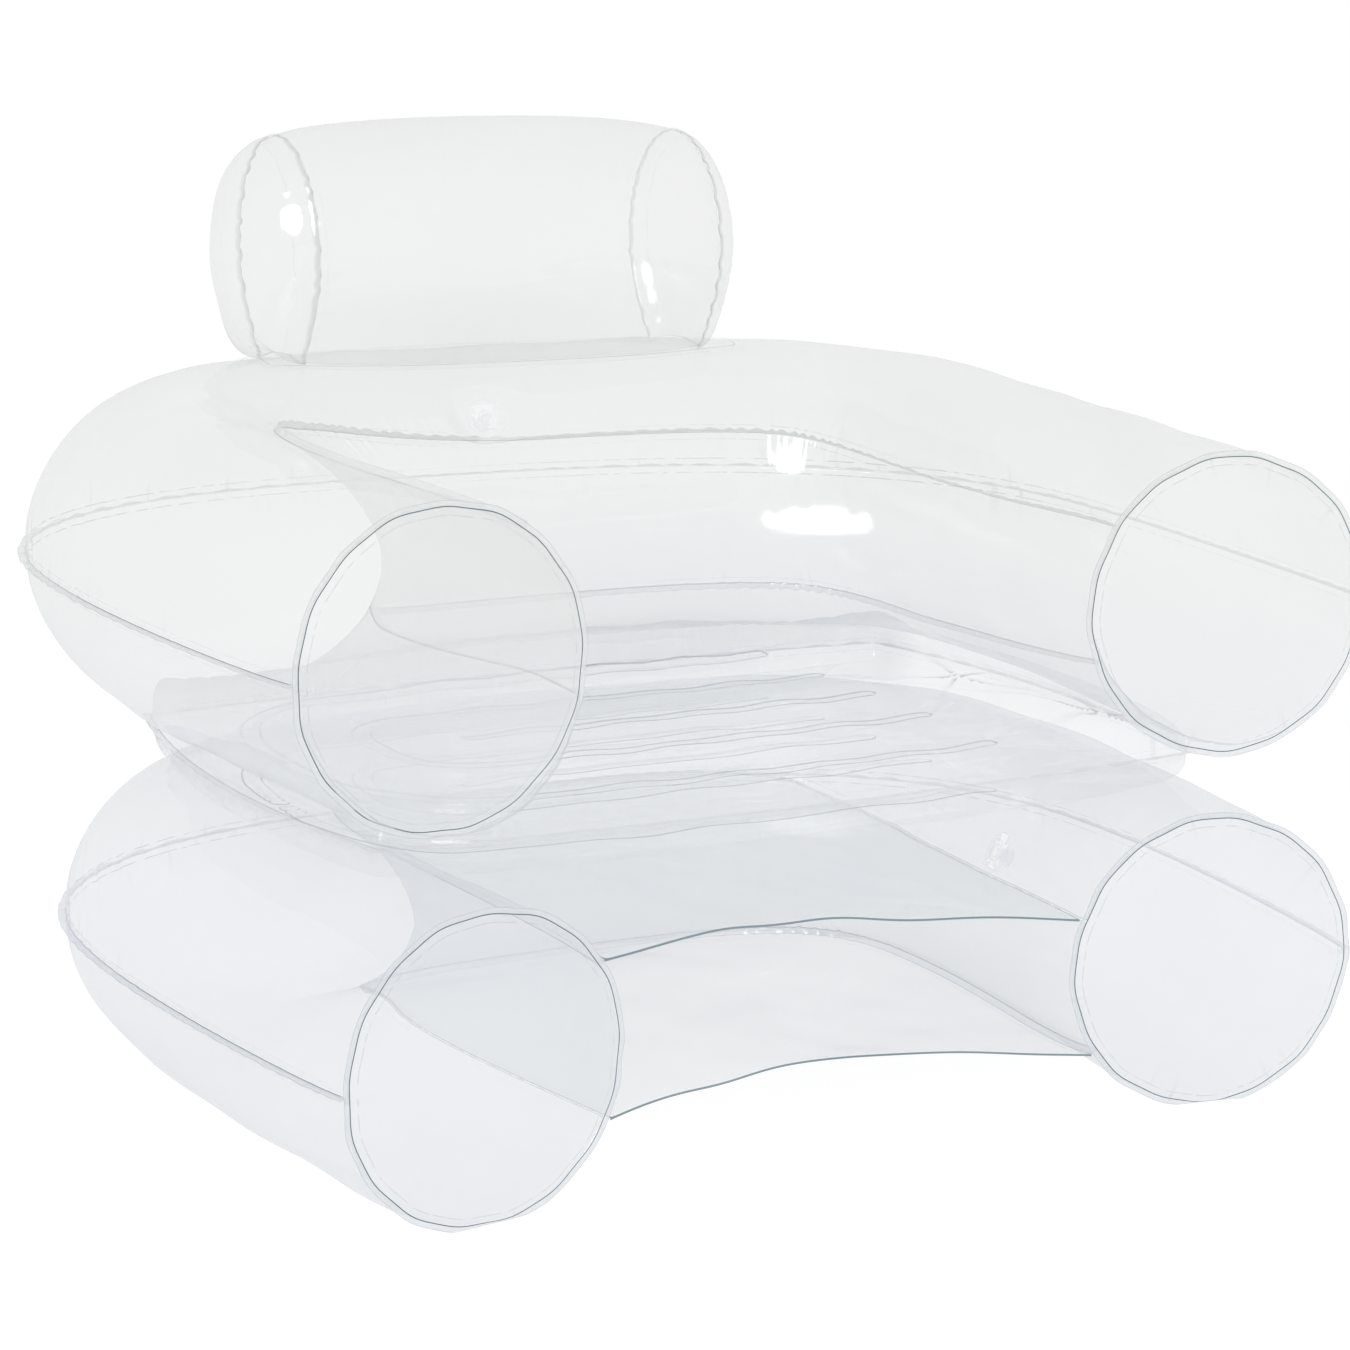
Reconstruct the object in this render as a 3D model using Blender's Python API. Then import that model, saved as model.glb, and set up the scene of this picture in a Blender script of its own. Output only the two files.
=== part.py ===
"""Inflatable armchair of clear film, built from its welded panels and its two valves.

Two U-shaped air tubes lie one on the other. The lower one is the base, the upper one
makes the arms and the back. A flat channelled seat cushion is held between them, a
pillow stands on the back, and two webs of film tie the arms of the base together.
Units are metres, +Z is up and the chair faces -Y. The plan is drawn with the end caps
at y = 0 and carried by an empty that brings the chair's middle to the origin.
"""

import math

import bmesh
import bpy
from mathutils import Matrix, Vector

# Film and welds
FILM = 0.0004
WELD_GAP = 0.0003
WELD_WIDTH = 0.007

# Air tubes
TUBE_RADIUS = 0.130
FLOOR_SQUASH = 0.0030
UPPER_BACK_RISE = 0.0175
ARM_LENGTH = 0.400
BACK_REACH = 0.315
UPPER_WIDE_HALF_SPAN = 0.397
UPPER_TOE_IN = 0.037
LOWER_STEP_IN = 0.013
LOWER_TOE_IN = 0.044
END_DOME = 0.016
END_DRAW_IN = 0.004
END_DRAW_LENGTH = 0.030

# Seat cushion
SEAT_SIDE_REACH = 0.020
SEAT_FRONT = 0.085
SEAT_BACK = 0.690
SEAT_EDGE_THICKNESS = 0.0565
SEAT_BULGE = 0.005
SEAT_SAG = 0.0095
SEAT_TUBE_CLEARANCE = 0.0004
CHANNEL_DEPTH = 0.012
TIE_RUNS = (0.160, 0.288, 0.396, 0.494, 0.600)
TIE_RIGHT_END = 0.222
TIE_LEFT_TURN_OUTER = 0.362
TIE_LEFT_TURN_INNER = 0.270
TIE_LEFT_END_CENTRE = 0.180

# Backrest pillow
PILLOW_WIDE_RISE = 0.094
PILLOW_CROWN = 0.124
PILLOW_FORWARD = 0.008
PILLOW_HALF_DEPTH = 0.098
PILLOW_BASE_HALF_DEPTH = 0.045
PILLOW_HALF_SPAN = 0.205
PILLOW_BASE_HALF_SPAN = 0.250
PILLOW_SIDE_DOME = 0.052
BASE_SEAT_GAP = 0.0015
FOOT_SEAT_GAP = 0.0008
PILLOW_END_DRAW_IN = 0.015

# Webs between the arms of the base
TOP_WEB_BOW = 0.062
FLOOR_WEB_BOW = 0.070

# Valves
VALVE_PLATE_RADIUS = 0.0205
VALVE_PLATE_THICKNESS = 0.0010
NECK_RADIUS = 0.0065
NECK_BORE_RADIUS = 0.0046
NECK_LENGTH = 0.0160
NECK_LIP_RADIUS = 0.0088
NECK_LIP_THICKNESS = 0.0012
NECK_STOP_RADIUS = 0.0088
NECK_STOP_THICKNESS = 0.0012
RUNNING_CLEARANCE = 0.0002
PLUG_SHANK_LENGTH = 0.0075
PLUG_CAP_RADIUS = 0.0130
PLUG_CAP_THICKNESS = 0.0018
TETHER_WIDTH = 0.0040
TETHER_THICKNESS = 0.0007
TETHER_LEG = 0.0015
PLUG_TIP_TAPER = 0.0004
VALVE_HOLE_RADIUS = 0.0100
FILM_CUT_REACH = 0.0030
FLAP_THICKNESS = 0.0005

# Shares and counts
FILM_ROUGHNESS_SHARE = 0.08
FILM_ALPHA_SHARE = 0.35
FILM_TINT = (0.90, 0.92, 0.93)
VALVE_TINT = (0.86, 0.88, 0.90)
SQUARENESS = 3.2
UPPER_BACK_STRETCH_SHARE = 0.115
ARM_WIDENING_SHARE = 1.5
UPPER_TOP_WELD_DEGREES = (33, 27, 28, 62, 53)
UPPER_BOTTOM_WELD_DEGREES = (20, 33, 35, 13, 15)
LOWER_TOP_WELD_DEGREES = (21, 11, 31, 48, 31)
LOWER_BOTTOM_WELD_DEGREES = (33, 54, 60, 30, 28)
FLOOR_CONTACT_ANGLE = math.radians(11)
ARM_STEPS = 5
BEND_STEPS = 8
SKIN_STEPS = 8
BAND_STEPS = 4
CAP_SIDES = 24
CAP_RINGS = 3
WEB_STEPS = 8
SEAT_COLUMNS = 20
SEAT_CORNER_SHARE = 0.30
SEAT_EDGE_CROWDING_SHARE = 0.40
SEAT_CLEAR_SHARE = 0.15
SWELL_POWER = 12
SWELL_ROUNDNESS_SHARE = 0.20
CHANNEL_STEPS = 3
PILLOW_STEPS = 14
PILLOW_FOOT_STEPS = 3
PILLOW_BASE_STEPS = 6
PILLOW_BASE_COLUMNS = 14
TETHER_BEND_STEPS = 4
UPPER_VALVE_STATION = ARM_STEPS + BEND_STEPS
UPPER_VALVE_FACET = SKIN_STEPS - 1
BASE_VALVE_STATION = ARM_STEPS // 2
BASE_VALVE_FACET = SKIN_STEPS - 1
VALVE_TURN = math.radians(130)
PILLOW_COLUMNS = 8
GUSSET_RINGS = 3
VALVE_SIDES = 20

ROOT = None


class Tube:
    """One U-shaped air tube: its plan, its heights and where its panels are welded.

    Each weld has five angles above or below the inner side: at the right end cap, where the
    right arm ends, in the middle of the back, where the left arm ends and at the left end cap.
    """

    def __init__(self, name, heights, back_stretch, spans, welds, stack, under_angles):
        self.name = name
        self.height, self.back_rise = heights
        self.back_stretch = back_stretch
        self.wide_span, self.toe_in = spans
        self.top_welds, self.bottom_welds = welds
        self.stack = stack
        self.under_angles = under_angles


class Station:
    """A place on a tube's centre line, with its outward direction, radius and upright stretch."""

    def __init__(self, tube, x, y, outward, radius, bend_share):
        reach = (y / (ARM_LENGTH + BACK_REACH)) ** 2
        self.centre = Vector((x, y, tube.height + tube.back_rise * reach))
        self.stretch = 1 + tube.back_stretch * reach
        self.outward = outward
        self.radius = radius
        self.bend_share = bend_share


def film_material(name, tint):
    """Clear film: almost colourless, smooth and see-through."""
    material = bpy.data.materials.new(name)
    material.use_nodes = True
    shader = material.node_tree.nodes["Principled BSDF"]
    shader.inputs["Base Color"].default_value = (*tint, 1.0)
    shader.inputs["Roughness"].default_value = FILM_ROUGHNESS_SHARE
    shader.inputs["Metallic"].default_value = 0
    shader.inputs["Alpha"].default_value = FILM_ALPHA_SHARE
    return material


def add_object(name, mesh, tint=FILM_TINT):
    """Adds one named sub-part with its own material, carried by the chair's empty."""
    part = bpy.data.objects.new(name, mesh)
    bpy.context.collection.objects.link(part)
    part.data.materials.append(film_material(name + "_film", tint))
    part.parent = ROOT
    return part


def shaded_mesh(name, bm, sharp_angle=math.radians(40)):
    """Turns a bmesh into a smooth-shaded mesh with its faces pointing out."""
    bmesh.ops.recalc_face_normals(bm, faces=bm.faces)
    mesh = bpy.data.meshes.new(name)
    bm.to_mesh(mesh)
    bm.free()
    mesh.shade_smooth()
    mesh.set_sharp_from_angle(angle=sharp_angle)
    return mesh


def split_quad(bm, corners, flipped):
    """Two triangles for a quad, split from its first corner, or from its last one when flipped."""
    a, b, c, d = corners
    if flipped:
        bm.faces.new((a, b, d))
        bm.faces.new((b, c, d))
    else:
        bm.faces.new((a, b, c))
        bm.faces.new((a, c, d))


def skin_mesh(name, outer, inner, flipped=lambda row, column: False):
    """Closed film panel between two equal grids of points, outer[row][column].

    Welded neighbours must split their quads along the same diagonals, so flipped says
    which quads are split the other way.
    """
    bm = bmesh.new()
    rows = len(outer)
    columns = len(outer[0])
    skins = [[[bm.verts.new(point) for point in row] for row in grid] for grid in (outer, inner)]
    out, back = skins
    for i in range(rows - 1):
        for j in range(columns - 1):
            for skin in skins:
                corners = (skin[i][j], skin[i + 1][j], skin[i + 1][j + 1], skin[i][j + 1])
                split_quad(bm, corners, flipped(i, j))
        for j in (0, columns - 1):
            bm.faces.new((out[i][j], out[i + 1][j], back[i + 1][j], back[i][j]))
    for i in (0, rows - 1):
        for j in range(columns - 1):
            bm.faces.new((out[i][j], out[i][j + 1], back[i][j + 1], back[i][j]))
    return shaded_mesh(name, bm)


def arm_half_span(tube, y):
    """Half of the distance between the two arms' centre lines at depth y."""
    left_over = 1 - y / ARM_LENGTH
    return tube.wide_span - tube.toe_in * left_over ** ARM_WIDENING_SHARE


def arm_outward(tube, y):
    """Outward direction of the right arm at depth y."""
    left_over = 1 - y / ARM_LENGTH
    slope = tube.toe_in / ARM_LENGTH * ARM_WIDENING_SHARE * left_over ** (ARM_WIDENING_SHARE - 1)
    return Vector((1, -slope, 0)).normalized()


def bend_place(tube, turn):
    """Point and outward direction on the squared bend, turn 0 at the arm, a quarter turn at the back."""
    power = 2 / SQUARENESS
    x = tube.wide_span * math.cos(turn) ** power
    y = BACK_REACH * math.sin(turn) ** power
    outward = Vector((
        (x / tube.wide_span) ** (SQUARENESS - 1) / tube.wide_span,
        (y / BACK_REACH) ** (SQUARENESS - 1) / BACK_REACH,
        0,
    )).normalized()
    return x, ARM_LENGTH + y, outward


def drawn_radius(distance):
    """Tube radius, drawn in a little where the end cap is welded on."""
    return TUBE_RADIUS - END_DRAW_IN * math.exp(-distance / END_DRAW_LENGTH)


def right_half_stations(tube):
    """Stations from the right end cap to the middle of the back."""
    stations = []
    for i in range(ARM_STEPS):
        y = ARM_LENGTH * i / ARM_STEPS
        stations.append(Station(tube, arm_half_span(tube, y), y, arm_outward(tube, y), drawn_radius(y), 0))
    for i in range(BEND_STEPS):
        x, y, outward = bend_place(tube, math.radians(90) * i / BEND_STEPS)
        stations.append(Station(tube, x, y, outward, TUBE_RADIUS, i / BEND_STEPS))
    stations.append(Station(tube, 0, ARM_LENGTH + BACK_REACH, Vector((0, 1, 0)), TUBE_RADIUS, 1))
    return stations


def mirrored(vector):
    return Vector((-vector.x, vector.y, vector.z))


def mirrored_station(tube, station):
    centre = station.centre
    return Station(tube, -centre.x, centre.y, mirrored(station.outward), station.radius, station.bend_share)


def stations_of(tube):
    """All stations, from the right end cap round the back to the left end cap."""
    right = right_half_stations(tube)
    return right + [mirrored_station(tube, station) for station in right[-2::-1]]


def weld_angle(welds, station):
    """Angle of a weld at a station, turning gently between the five places that it is set at."""
    way = min(station.centre.y / ARM_LENGTH, 1) + station.bend_share
    if station.centre.x < 0:
        way = len(welds) - 1 - way
    passed = min(int(way), len(welds) - 2)
    share = way - passed
    blend = share * share * (3 - 2 * share)
    return math.radians(welds[passed] + (welds[passed + 1] - welds[passed]) * blend)


def top_weld_turn(tube, station):
    """Section angle at which the top sheet is welded to the inner band."""
    return math.radians(180) - weld_angle(tube.top_welds, station)


def bottom_weld_turn(tube, station):
    """Section angle at which the bottom sheet is welded to the inner band."""
    return math.radians(180) + weld_angle(tube.bottom_welds, station)


def section_point(station, along, across, angle, floor=0):
    """Point in a station's section: along the ray at this angle, and across it."""
    side = math.cos(angle) * along - math.sin(angle) * across
    rise = (math.sin(angle) * along + math.cos(angle) * across) * station.stretch
    point = station.centre + station.outward * side
    point.z = max(station.centre.z + rise, floor)
    return point


def even_angles(start, end, steps):
    return [start + (end - start) * k / steps for k in range(1, steps)]


def seated_angles(start, end, steps):
    """Angles of a sheet that lies on the seat, with one of them straight down."""
    down = math.radians(270)
    inside = steps // 2
    return even_angles(start, down, inside) + [down] + even_angles(down, end, steps - inside)


def floor_angles(start, end, steps):
    """Angles of a sheet that lies on the floor: one flat step under the tube, even steps beside it."""
    down = math.radians(270)
    near = down - FLOOR_CONTACT_ANGLE
    far = down + FLOOR_CONTACT_ANGLE
    inside = (steps - 1) // 2
    return even_angles(start, near, inside) + [near, far] + even_angles(far, end, steps - 1 - inside)


def sheet_rows(station, start, end, start_stack, end_stack, angles):
    """Outer and inner points of one sheet in one section, with a weld flange at both edges."""
    radius = station.radius
    tip = radius + WELD_WIDTH
    near = start_stack + FILM
    far = end_stack + FILM
    outer = [section_point(station, tip, near, start), section_point(station, radius, near, start)]
    inner = [section_point(station, tip, start_stack, start, FILM),
             section_point(station, radius - FILM, start_stack, start, FILM)]
    for angle in angles:
        outer.append(section_point(station, radius, 0, angle))
        inner.append(section_point(station, radius - FILM, 0, angle, FILM))
    outer += [section_point(station, radius, -far, end), section_point(station, tip, -far, end)]
    inner += [section_point(station, radius - FILM, -end_stack, end, FILM),
              section_point(station, tip, -end_stack, end, FILM)]
    return outer, inner


def top_sheet_rows(tube, station):
    end = top_weld_turn(tube, station)
    return sheet_rows(station, 0, end, WELD_GAP / 2, tube.stack, even_angles(0, end, SKIN_STEPS))


def inner_band_rows(tube, station):
    start = top_weld_turn(tube, station)
    end = bottom_weld_turn(tube, station)
    return sheet_rows(station, start, end, tube.stack, tube.stack, even_angles(start, end, BAND_STEPS))


def bottom_sheet_rows(tube, station):
    start = bottom_weld_turn(tube, station)
    end = math.radians(360)
    return sheet_rows(station, start, end, tube.stack, WELD_GAP / 2, tube.under_angles(start, end, SKIN_STEPS))


def tube_sheets(tube):
    """Top sheet, inner band and bottom sheet of one tube."""
    sheets = {}
    for sheet, rows_at in (("top_sheet", top_sheet_rows), ("inner_band", inner_band_rows),
                           ("bottom_sheet", bottom_sheet_rows)):
        rows = [rows_at(tube, station) for station in stations_of(tube)]
        name = tube.name + "_" + sheet
        end_flange = len(rows[0][0]) - 2
        outer = [row[0] for row in rows]
        inner = [row[1] for row in rows]
        mesh = skin_mesh(name, outer, inner, lambda i, j: j == end_flange)
        sheets[sheet] = add_object(name, mesh)
    return sheets


def end_cap(tube, station, name):
    """Round end panel: a shallow dome with a flat weld flange, in front of the sheets' ends."""
    forward = Vector((0, 0, 1)).cross(station.outward)
    if forward.y > 0:
        forward = -forward
    rim = station.radius + WELD_WIDTH
    radii = [station.radius * (k + 1) / CAP_RINGS for k in range(CAP_RINGS)] + [rim]
    bm = bmesh.new()
    faces = []
    for lift in (WELD_GAP + FILM, WELD_GAP):
        middle = bm.verts.new(station.centre + forward * (lift + END_DOME))
        rings = []
        for radius in radii:
            dome = END_DOME * max(1 - (radius / station.radius) ** 2, 0)
            floor = (rim - radius) / 4
            ring = []
            for k in range(CAP_SIDES):
                point = section_point(station, radius, 0, math.radians(360) * k / CAP_SIDES, floor)
                ring.append(bm.verts.new(point + forward * (lift + dome)))
            rings.append(ring)
        faces.append((middle, rings))
    for middle, rings in faces:
        for k in range(CAP_SIDES):
            after = (k + 1) % CAP_SIDES
            bm.faces.new((middle, rings[0][k], rings[0][after]))
            for inside, outside in zip(rings, rings[1:]):
                bm.faces.new((inside[k], outside[k], outside[after], inside[after]))
    front_rim = faces[0][1][-1]
    back_rim = faces[1][1][-1]
    for k in range(CAP_SIDES):
        after = (k + 1) % CAP_SIDES
        bm.faces.new((front_rim[k], back_rim[k], back_rim[after], front_rim[after]))
    add_object(name, shaded_mesh(name, bm))


def front_reach(*tubes):
    """How far the toed-in end caps stand in front of the arms' ends."""
    rim = drawn_radius(0) + WELD_WIDTH
    turned_in = max(rim * -arm_outward(tube, 0).y for tube in tubes)
    return max(turned_in, END_DOME) + WELD_GAP + FILM


def build_tube(tube):
    sheets = tube_sheets(tube)
    stations = stations_of(tube)
    end_cap(tube, stations[0], tube.name + "_right_end_cap")
    end_cap(tube, stations[-1], tube.name + "_left_end_cap")
    return sheets


def web_edge(station, angle):
    """A web's weld at one station: its root and its tip on the middle surface, and their normal."""
    normal = Vector((0, 0, -math.cos(angle))) + station.outward * math.sin(angle)
    root = section_point(station, station.radius + FILM, 0, angle)
    tip = section_point(station, station.radius + WELD_WIDTH, 0, angle)
    return root, tip, normal


def web_row(right, left, front_bow):
    """One row of a web, from weld to weld, as points on its middle surface with their normals."""
    root, tip, normal = right
    far_root, far_tip, far_normal = left
    row = [(root, normal), (tip, normal)]
    for k in range(1, WEB_STEPS):
        share = k / WEB_STEPS
        bow = Vector((0, front_bow * 4 * share * (1 - share), 0))
        row.append((tip.lerp(far_tip, share) + bow, Vector((0, 0, 1))))
    row.append((far_tip, far_normal))
    row.append((far_root, far_normal))
    return row


def web(tube, name, weld_turn, front_bow):
    """Film web between the arms, welded into the tube's inner seam, with a bowed free edge."""
    stations = right_half_stations(tube)[:-1]
    back = stations[-1].centre.y
    outer = []
    inner = []
    for station in stations:
        far = mirrored_station(tube, station)
        left_over = 1 - station.centre.y / back
        edges = (web_edge(station, weld_turn(tube, station)), web_edge(far, weld_turn(tube, far)))
        row = web_row(*edges, front_bow * left_over * left_over)
        outer.append([point + normal * (FILM / 2) for point, normal in row])
        inner.append([point - normal * (FILM / 2) for point, normal in row])
    left_edge = len(outer[0]) - 2
    add_object(name, skin_mesh(name, outer, inner, lambda i, j: j in (0, left_edge)))


def build_webs(tube):
    web(tube, "base_top_web", top_weld_turn, TOP_WEB_BOW)
    web(tube, "base_floor_web", bottom_weld_turn, FLOOR_WEB_BOW)


def tube_distance(tube, x, y):
    """Plan distance from a point to a tube's centre line, and the nearest station's height and stretch."""
    place = Vector((x, y))
    best = None
    stations = stations_of(tube)
    for near, far in zip(stations, stations[1:]):
        start = near.centre.xy
        run = far.centre.xy - start
        share = min(max((place - start).dot(run) / run.length_squared, 0), 1)
        distance = (place - start - run * share).length
        if best is None or distance < best[0]:
            height = near.centre.z + (far.centre.z - near.centre.z) * share
            stretch = near.stretch + (far.stretch - near.stretch) * share
            best = (distance, height, stretch)
    return best


def base_top_height():
    """Height of the base tube's top, on which the seat lies."""
    return 2 * TUBE_RADIUS - FLOOR_SQUASH


def seat_rim_height():
    """Height of the seat's rim, halfway between the two tubes."""
    return base_top_height() + SEAT_EDGE_THICKNESS / 2


def seat_half_width():
    return UPPER_WIDE_HALF_SPAN + SEAT_SIDE_REACH


def seat_clearing(distance):
    """How much thicker the seat may be at a distance from a tube's lowest or highest line."""
    return SEAT_CLEAR_SHARE * distance ** 2 / TUBE_RADIUS


def seat_ceiling(upper, x, y):
    """Highest place of the seat's top under the upper tube, touching it along its lowest line."""
    distance, height, stretch = tube_distance(upper, x, y)
    if distance > TUBE_RADIUS:
        return None
    return height - TUBE_RADIUS * stretch - SEAT_TUBE_CLEARANCE + seat_clearing(distance)


def seat_floor(lower, x, y):
    """Lowest place of the seat's bottom over the base tube, touching it along its highest line."""
    distance, height, stretch = tube_distance(lower, x, y)
    if distance > TUBE_RADIUS:
        return None
    return height + TUBE_RADIUS + SEAT_TUBE_CLEARANCE - seat_clearing(distance)


def seat_columns():
    """Shares of the half width at the seat's columns of points, closer together near the sides."""
    shares = []
    for i in range(SEAT_COLUMNS + 1):
        even = 2 * i / SEAT_COLUMNS - 1
        shares.append(even * (1 + SEAT_EDGE_CROWDING_SHARE * (1 - even * even)))
    return shares


def seat_rows():
    """Depths of the seat's rows of points: the rim, the weld lines and the channels between them."""
    lines = (SEAT_FRONT, *TIE_RUNS, SEAT_BACK)
    depths = [SEAT_FRONT]
    for start, end in zip(lines, lines[1:]):
        depths += [start + (end - start) * k / CHANNEL_STEPS for k in range(1, CHANNEL_STEPS + 1)]
    return depths


def nearest_column(x):
    shares = seat_columns()
    return min(range(len(shares)), key=lambda i: abs(shares[i] * seat_half_width() - x))


def tie_paths():
    """Grid places (row, column) of the three weld lines in the seat: two bends open to the right, one bar."""
    rows = [CHANNEL_STEPS * (k + 1) for k in range(len(TIE_RUNS))]
    right = nearest_column(TIE_RIGHT_END)
    paths = {}
    turns = {"outer": (rows[0], rows[4], TIE_LEFT_TURN_OUTER), "inner": (rows[1], rows[3], TIE_LEFT_TURN_INNER)}
    for name, (front, back, reach) in turns.items():
        left = nearest_column(-reach)
        path = [(front, column) for column in range(right, left, -1)]
        path += [(row, left) for row in range(front + 1, back)]
        path += [(back, column) for column in range(left + 1, right + 1)]
        paths[name] = path
    left = nearest_column(-TIE_LEFT_END_CENTRE)
    paths["centre"] = [(rows[2], column) for column in range(left, right + 1)]
    return paths


def seat_plan(column_share, depth, flange_x, flange_y):
    """Place on the seat's plan, a rectangle with round corners; a flange adds the weld's width."""
    half_depth = (SEAT_BACK - SEAT_FRONT) / 2
    middle = (SEAT_BACK + SEAT_FRONT) / 2
    row_share = (depth - middle) / half_depth
    x = (seat_half_width() + flange_x) * column_share * math.sqrt(1 - SEAT_CORNER_SHARE * row_share ** 2 / 2)
    y = middle + (half_depth + flange_y) * row_share * math.sqrt(1 - SEAT_CORNER_SHARE * column_share ** 2 / 2)
    return x, y, row_share


def seat_grid(rim_side, reach, limit, groove):
    """Points of one seat sheet's face that lies away from the other sheet.

    rim_side is +1 for the top sheet and -1 for the bottom one, reach is its crown, limit
    gives the tube's surface, and groove is the depth of its weld lines.
    """
    on_line = {place for path in tie_paths().values() for place in path}
    shares = seat_columns()
    depths = seat_rows()
    grid = []
    for i in range(-1, len(depths) + 1):
        row = []
        for j in range(-1, len(shares) + 1):
            inside_i = min(max(i, 0), len(depths) - 1)
            inside_j = min(max(j, 0), len(shares) - 1)
            flange_x = WELD_WIDTH if inside_j != j else 0
            flange_y = WELD_WIDTH if inside_i != i else 0
            x, y, row_share = seat_plan(shares[inside_j], depths[inside_i], flange_x, flange_y)
            rise = WELD_GAP / 2 + FILM
            swell = max((1 - abs(shares[inside_j]) ** SWELL_POWER) * (1 - abs(row_share) ** SWELL_POWER), 0)
            if swell > 0 and not flange_x and not flange_y:
                swell = swell ** SWELL_ROUNDNESS_SHARE
                rise += reach * swell - (groove * swell if (i, j) in on_line else 0)
                edge = limit(x, y)
                if edge is not None:
                    rise = min(rise, rim_side * (edge - seat_rim_height()))
            row.append(Vector((x, y, seat_rim_height() + rim_side * rise)))
        grid.append(row)
    return grid


def diagonal_cells():
    """Grid cells that a weld line crosses from its far corner, which are split the other way."""
    cells = set()
    for path in tie_paths().values():
        for (row, column), (next_row, next_column) in zip(path, path[1:]):
            if (next_row - row) * (next_column - column) < 0:
                cells.add((min(row, next_row), min(column, next_column)))
    return cells


def tie_strip(name, path, top, bottom):
    """Upright strip of film inside the seat, welded to both sheets along one weld line."""
    lift = Vector((0, 0, FILM + WELD_GAP))
    uppers = [top[row + 1][column + 1] - lift for row, column in path]
    lowers = [bottom[row + 1][column + 1] + lift for row, column in path]
    sides = []
    for k in range(len(path)):
        run = (uppers[min(k + 1, len(path) - 1)] - uppers[max(k - 1, 0)]).xy.normalized()
        sides.append(Vector((-run.y, run.x, 0)) * (FILM / 2))
    outer = [[low + side, high + side] for low, high, side in zip(lowers, uppers, sides)]
    inner = [[low - side, high - side] for low, high, side in zip(lowers, uppers, sides)]
    add_object(name, skin_mesh(name, outer, inner))


def build_seat(upper, lower):
    film = Vector((0, 0, FILM))
    crown = SEAT_EDGE_THICKNESS / 2 + SEAT_BULGE
    sag = SEAT_EDGE_THICKNESS / 2 + SEAT_SAG
    top = seat_grid(1, crown, lambda x, y: seat_ceiling(upper, x, y), CHANNEL_DEPTH)
    bottom = seat_grid(-1, sag, lambda x, y: seat_floor(lower, x, y), CHANNEL_DEPTH / 2)
    cells = diagonal_cells()

    def across(i, j):
        return (i - 1, j - 1) in cells

    inside_top = [[point - film for point in row] for row in top]
    inside_bottom = [[point + film for point in row] for row in bottom]
    add_object("seat_top_sheet", skin_mesh("seat_top_sheet", top, inside_top, across))
    add_object("seat_bottom_sheet", skin_mesh("seat_bottom_sheet", bottom, inside_bottom, across))
    for name, path in tie_paths().items():
        tie_strip("seat_tie_strip_" + name, path, top, bottom)


def tube_top(tube, x, y):
    """Height of a tube's top surface over a place near its centre line."""
    distance, height, stretch = tube_distance(tube, x, y)
    return height + stretch * math.sqrt(max(TUBE_RADIUS ** 2 - distance ** 2, 0))


def pillow_middle():
    """Depth of the pillow's middle plane, over the back tube's centre line."""
    return ARM_LENGTH + BACK_REACH - PILLOW_FORWARD


def pillow_wide_height(upper):
    """Height at which the pillow is deepest, over the back tube's top."""
    return tube_top(upper, 0, ARM_LENGTH + BACK_REACH) + PILLOW_WIDE_RISE


def pillow_section(upper, x):
    """Outline of the pillow at one place across the chair, front foot over the top to back foot."""
    draw = PILLOW_END_DRAW_IN * (x / PILLOW_HALF_SPAN) ** 4
    middle = pillow_middle()
    wide = pillow_wide_height(upper)
    deep = PILLOW_HALF_DEPTH - draw
    points = []
    for k in range(PILLOW_FOOT_STEPS):
        share = k / PILLOW_FOOT_STEPS
        depth = PILLOW_BASE_HALF_DEPTH + (deep - PILLOW_BASE_HALF_DEPTH) * math.sin(math.radians(90) * share)
        points.append((depth, share))
    feet = foot_height(upper, x, middle - PILLOW_BASE_HALF_DEPTH)
    back_feet = foot_height(upper, x, middle + PILLOW_BASE_HALF_DEPTH)
    outline = [Vector((x, middle - depth, feet + (wide - feet) * share)) for depth, share in points]
    crown = PILLOW_CROWN - draw
    for k in range(PILLOW_STEPS + 1):
        turn = math.radians(180) * k / PILLOW_STEPS
        outline.append(Vector((x, middle - deep * math.cos(turn), wide + crown * math.sin(turn))))
    for depth, share in reversed(points):
        outline.append(Vector((x, middle + depth, back_feet + (wide - back_feet) * share)))
    return outline


def drawn_inside(outline):
    """The same outline moved inwards by the film's thickness."""
    inside = []
    last = len(outline) - 1
    for k, point in enumerate(outline):
        run = (outline[min(k + 1, last)] - outline[max(k - 1, 0)]).normalized()
        inside.append(point + Vector((0, run.z, -run.y)) * FILM)
    return inside


def build_pillow_wrap(upper):
    outer = []
    for i in range(PILLOW_COLUMNS + 1):
        x = PILLOW_HALF_SPAN * (2 * i / PILLOW_COLUMNS - 1)
        outer.append(pillow_section(upper, x))
    inner = [drawn_inside(outline) for outline in outer]
    add_object("backrest_wrap", skin_mesh("backrest_wrap", outer, inner))


def foot_height(upper, x, y):
    """Height of the pillow's feet, on the sheet that lies on the tube."""
    return tube_top(upper, x, y) + BASE_SEAT_GAP + FILM + FOOT_SEAT_GAP


def pillow_end_outline(upper, x):
    """Closed outline of the pillow's end: its section and the line of its foot over the tube."""
    outline = pillow_section(upper, x)
    for k in range(1, PILLOW_BASE_STEPS):
        y = pillow_middle() + PILLOW_BASE_HALF_DEPTH * (1 - 2 * k / PILLOW_BASE_STEPS)
        outline.append(Vector((x, y, foot_height(upper, x, y))))
    return outline


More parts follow.
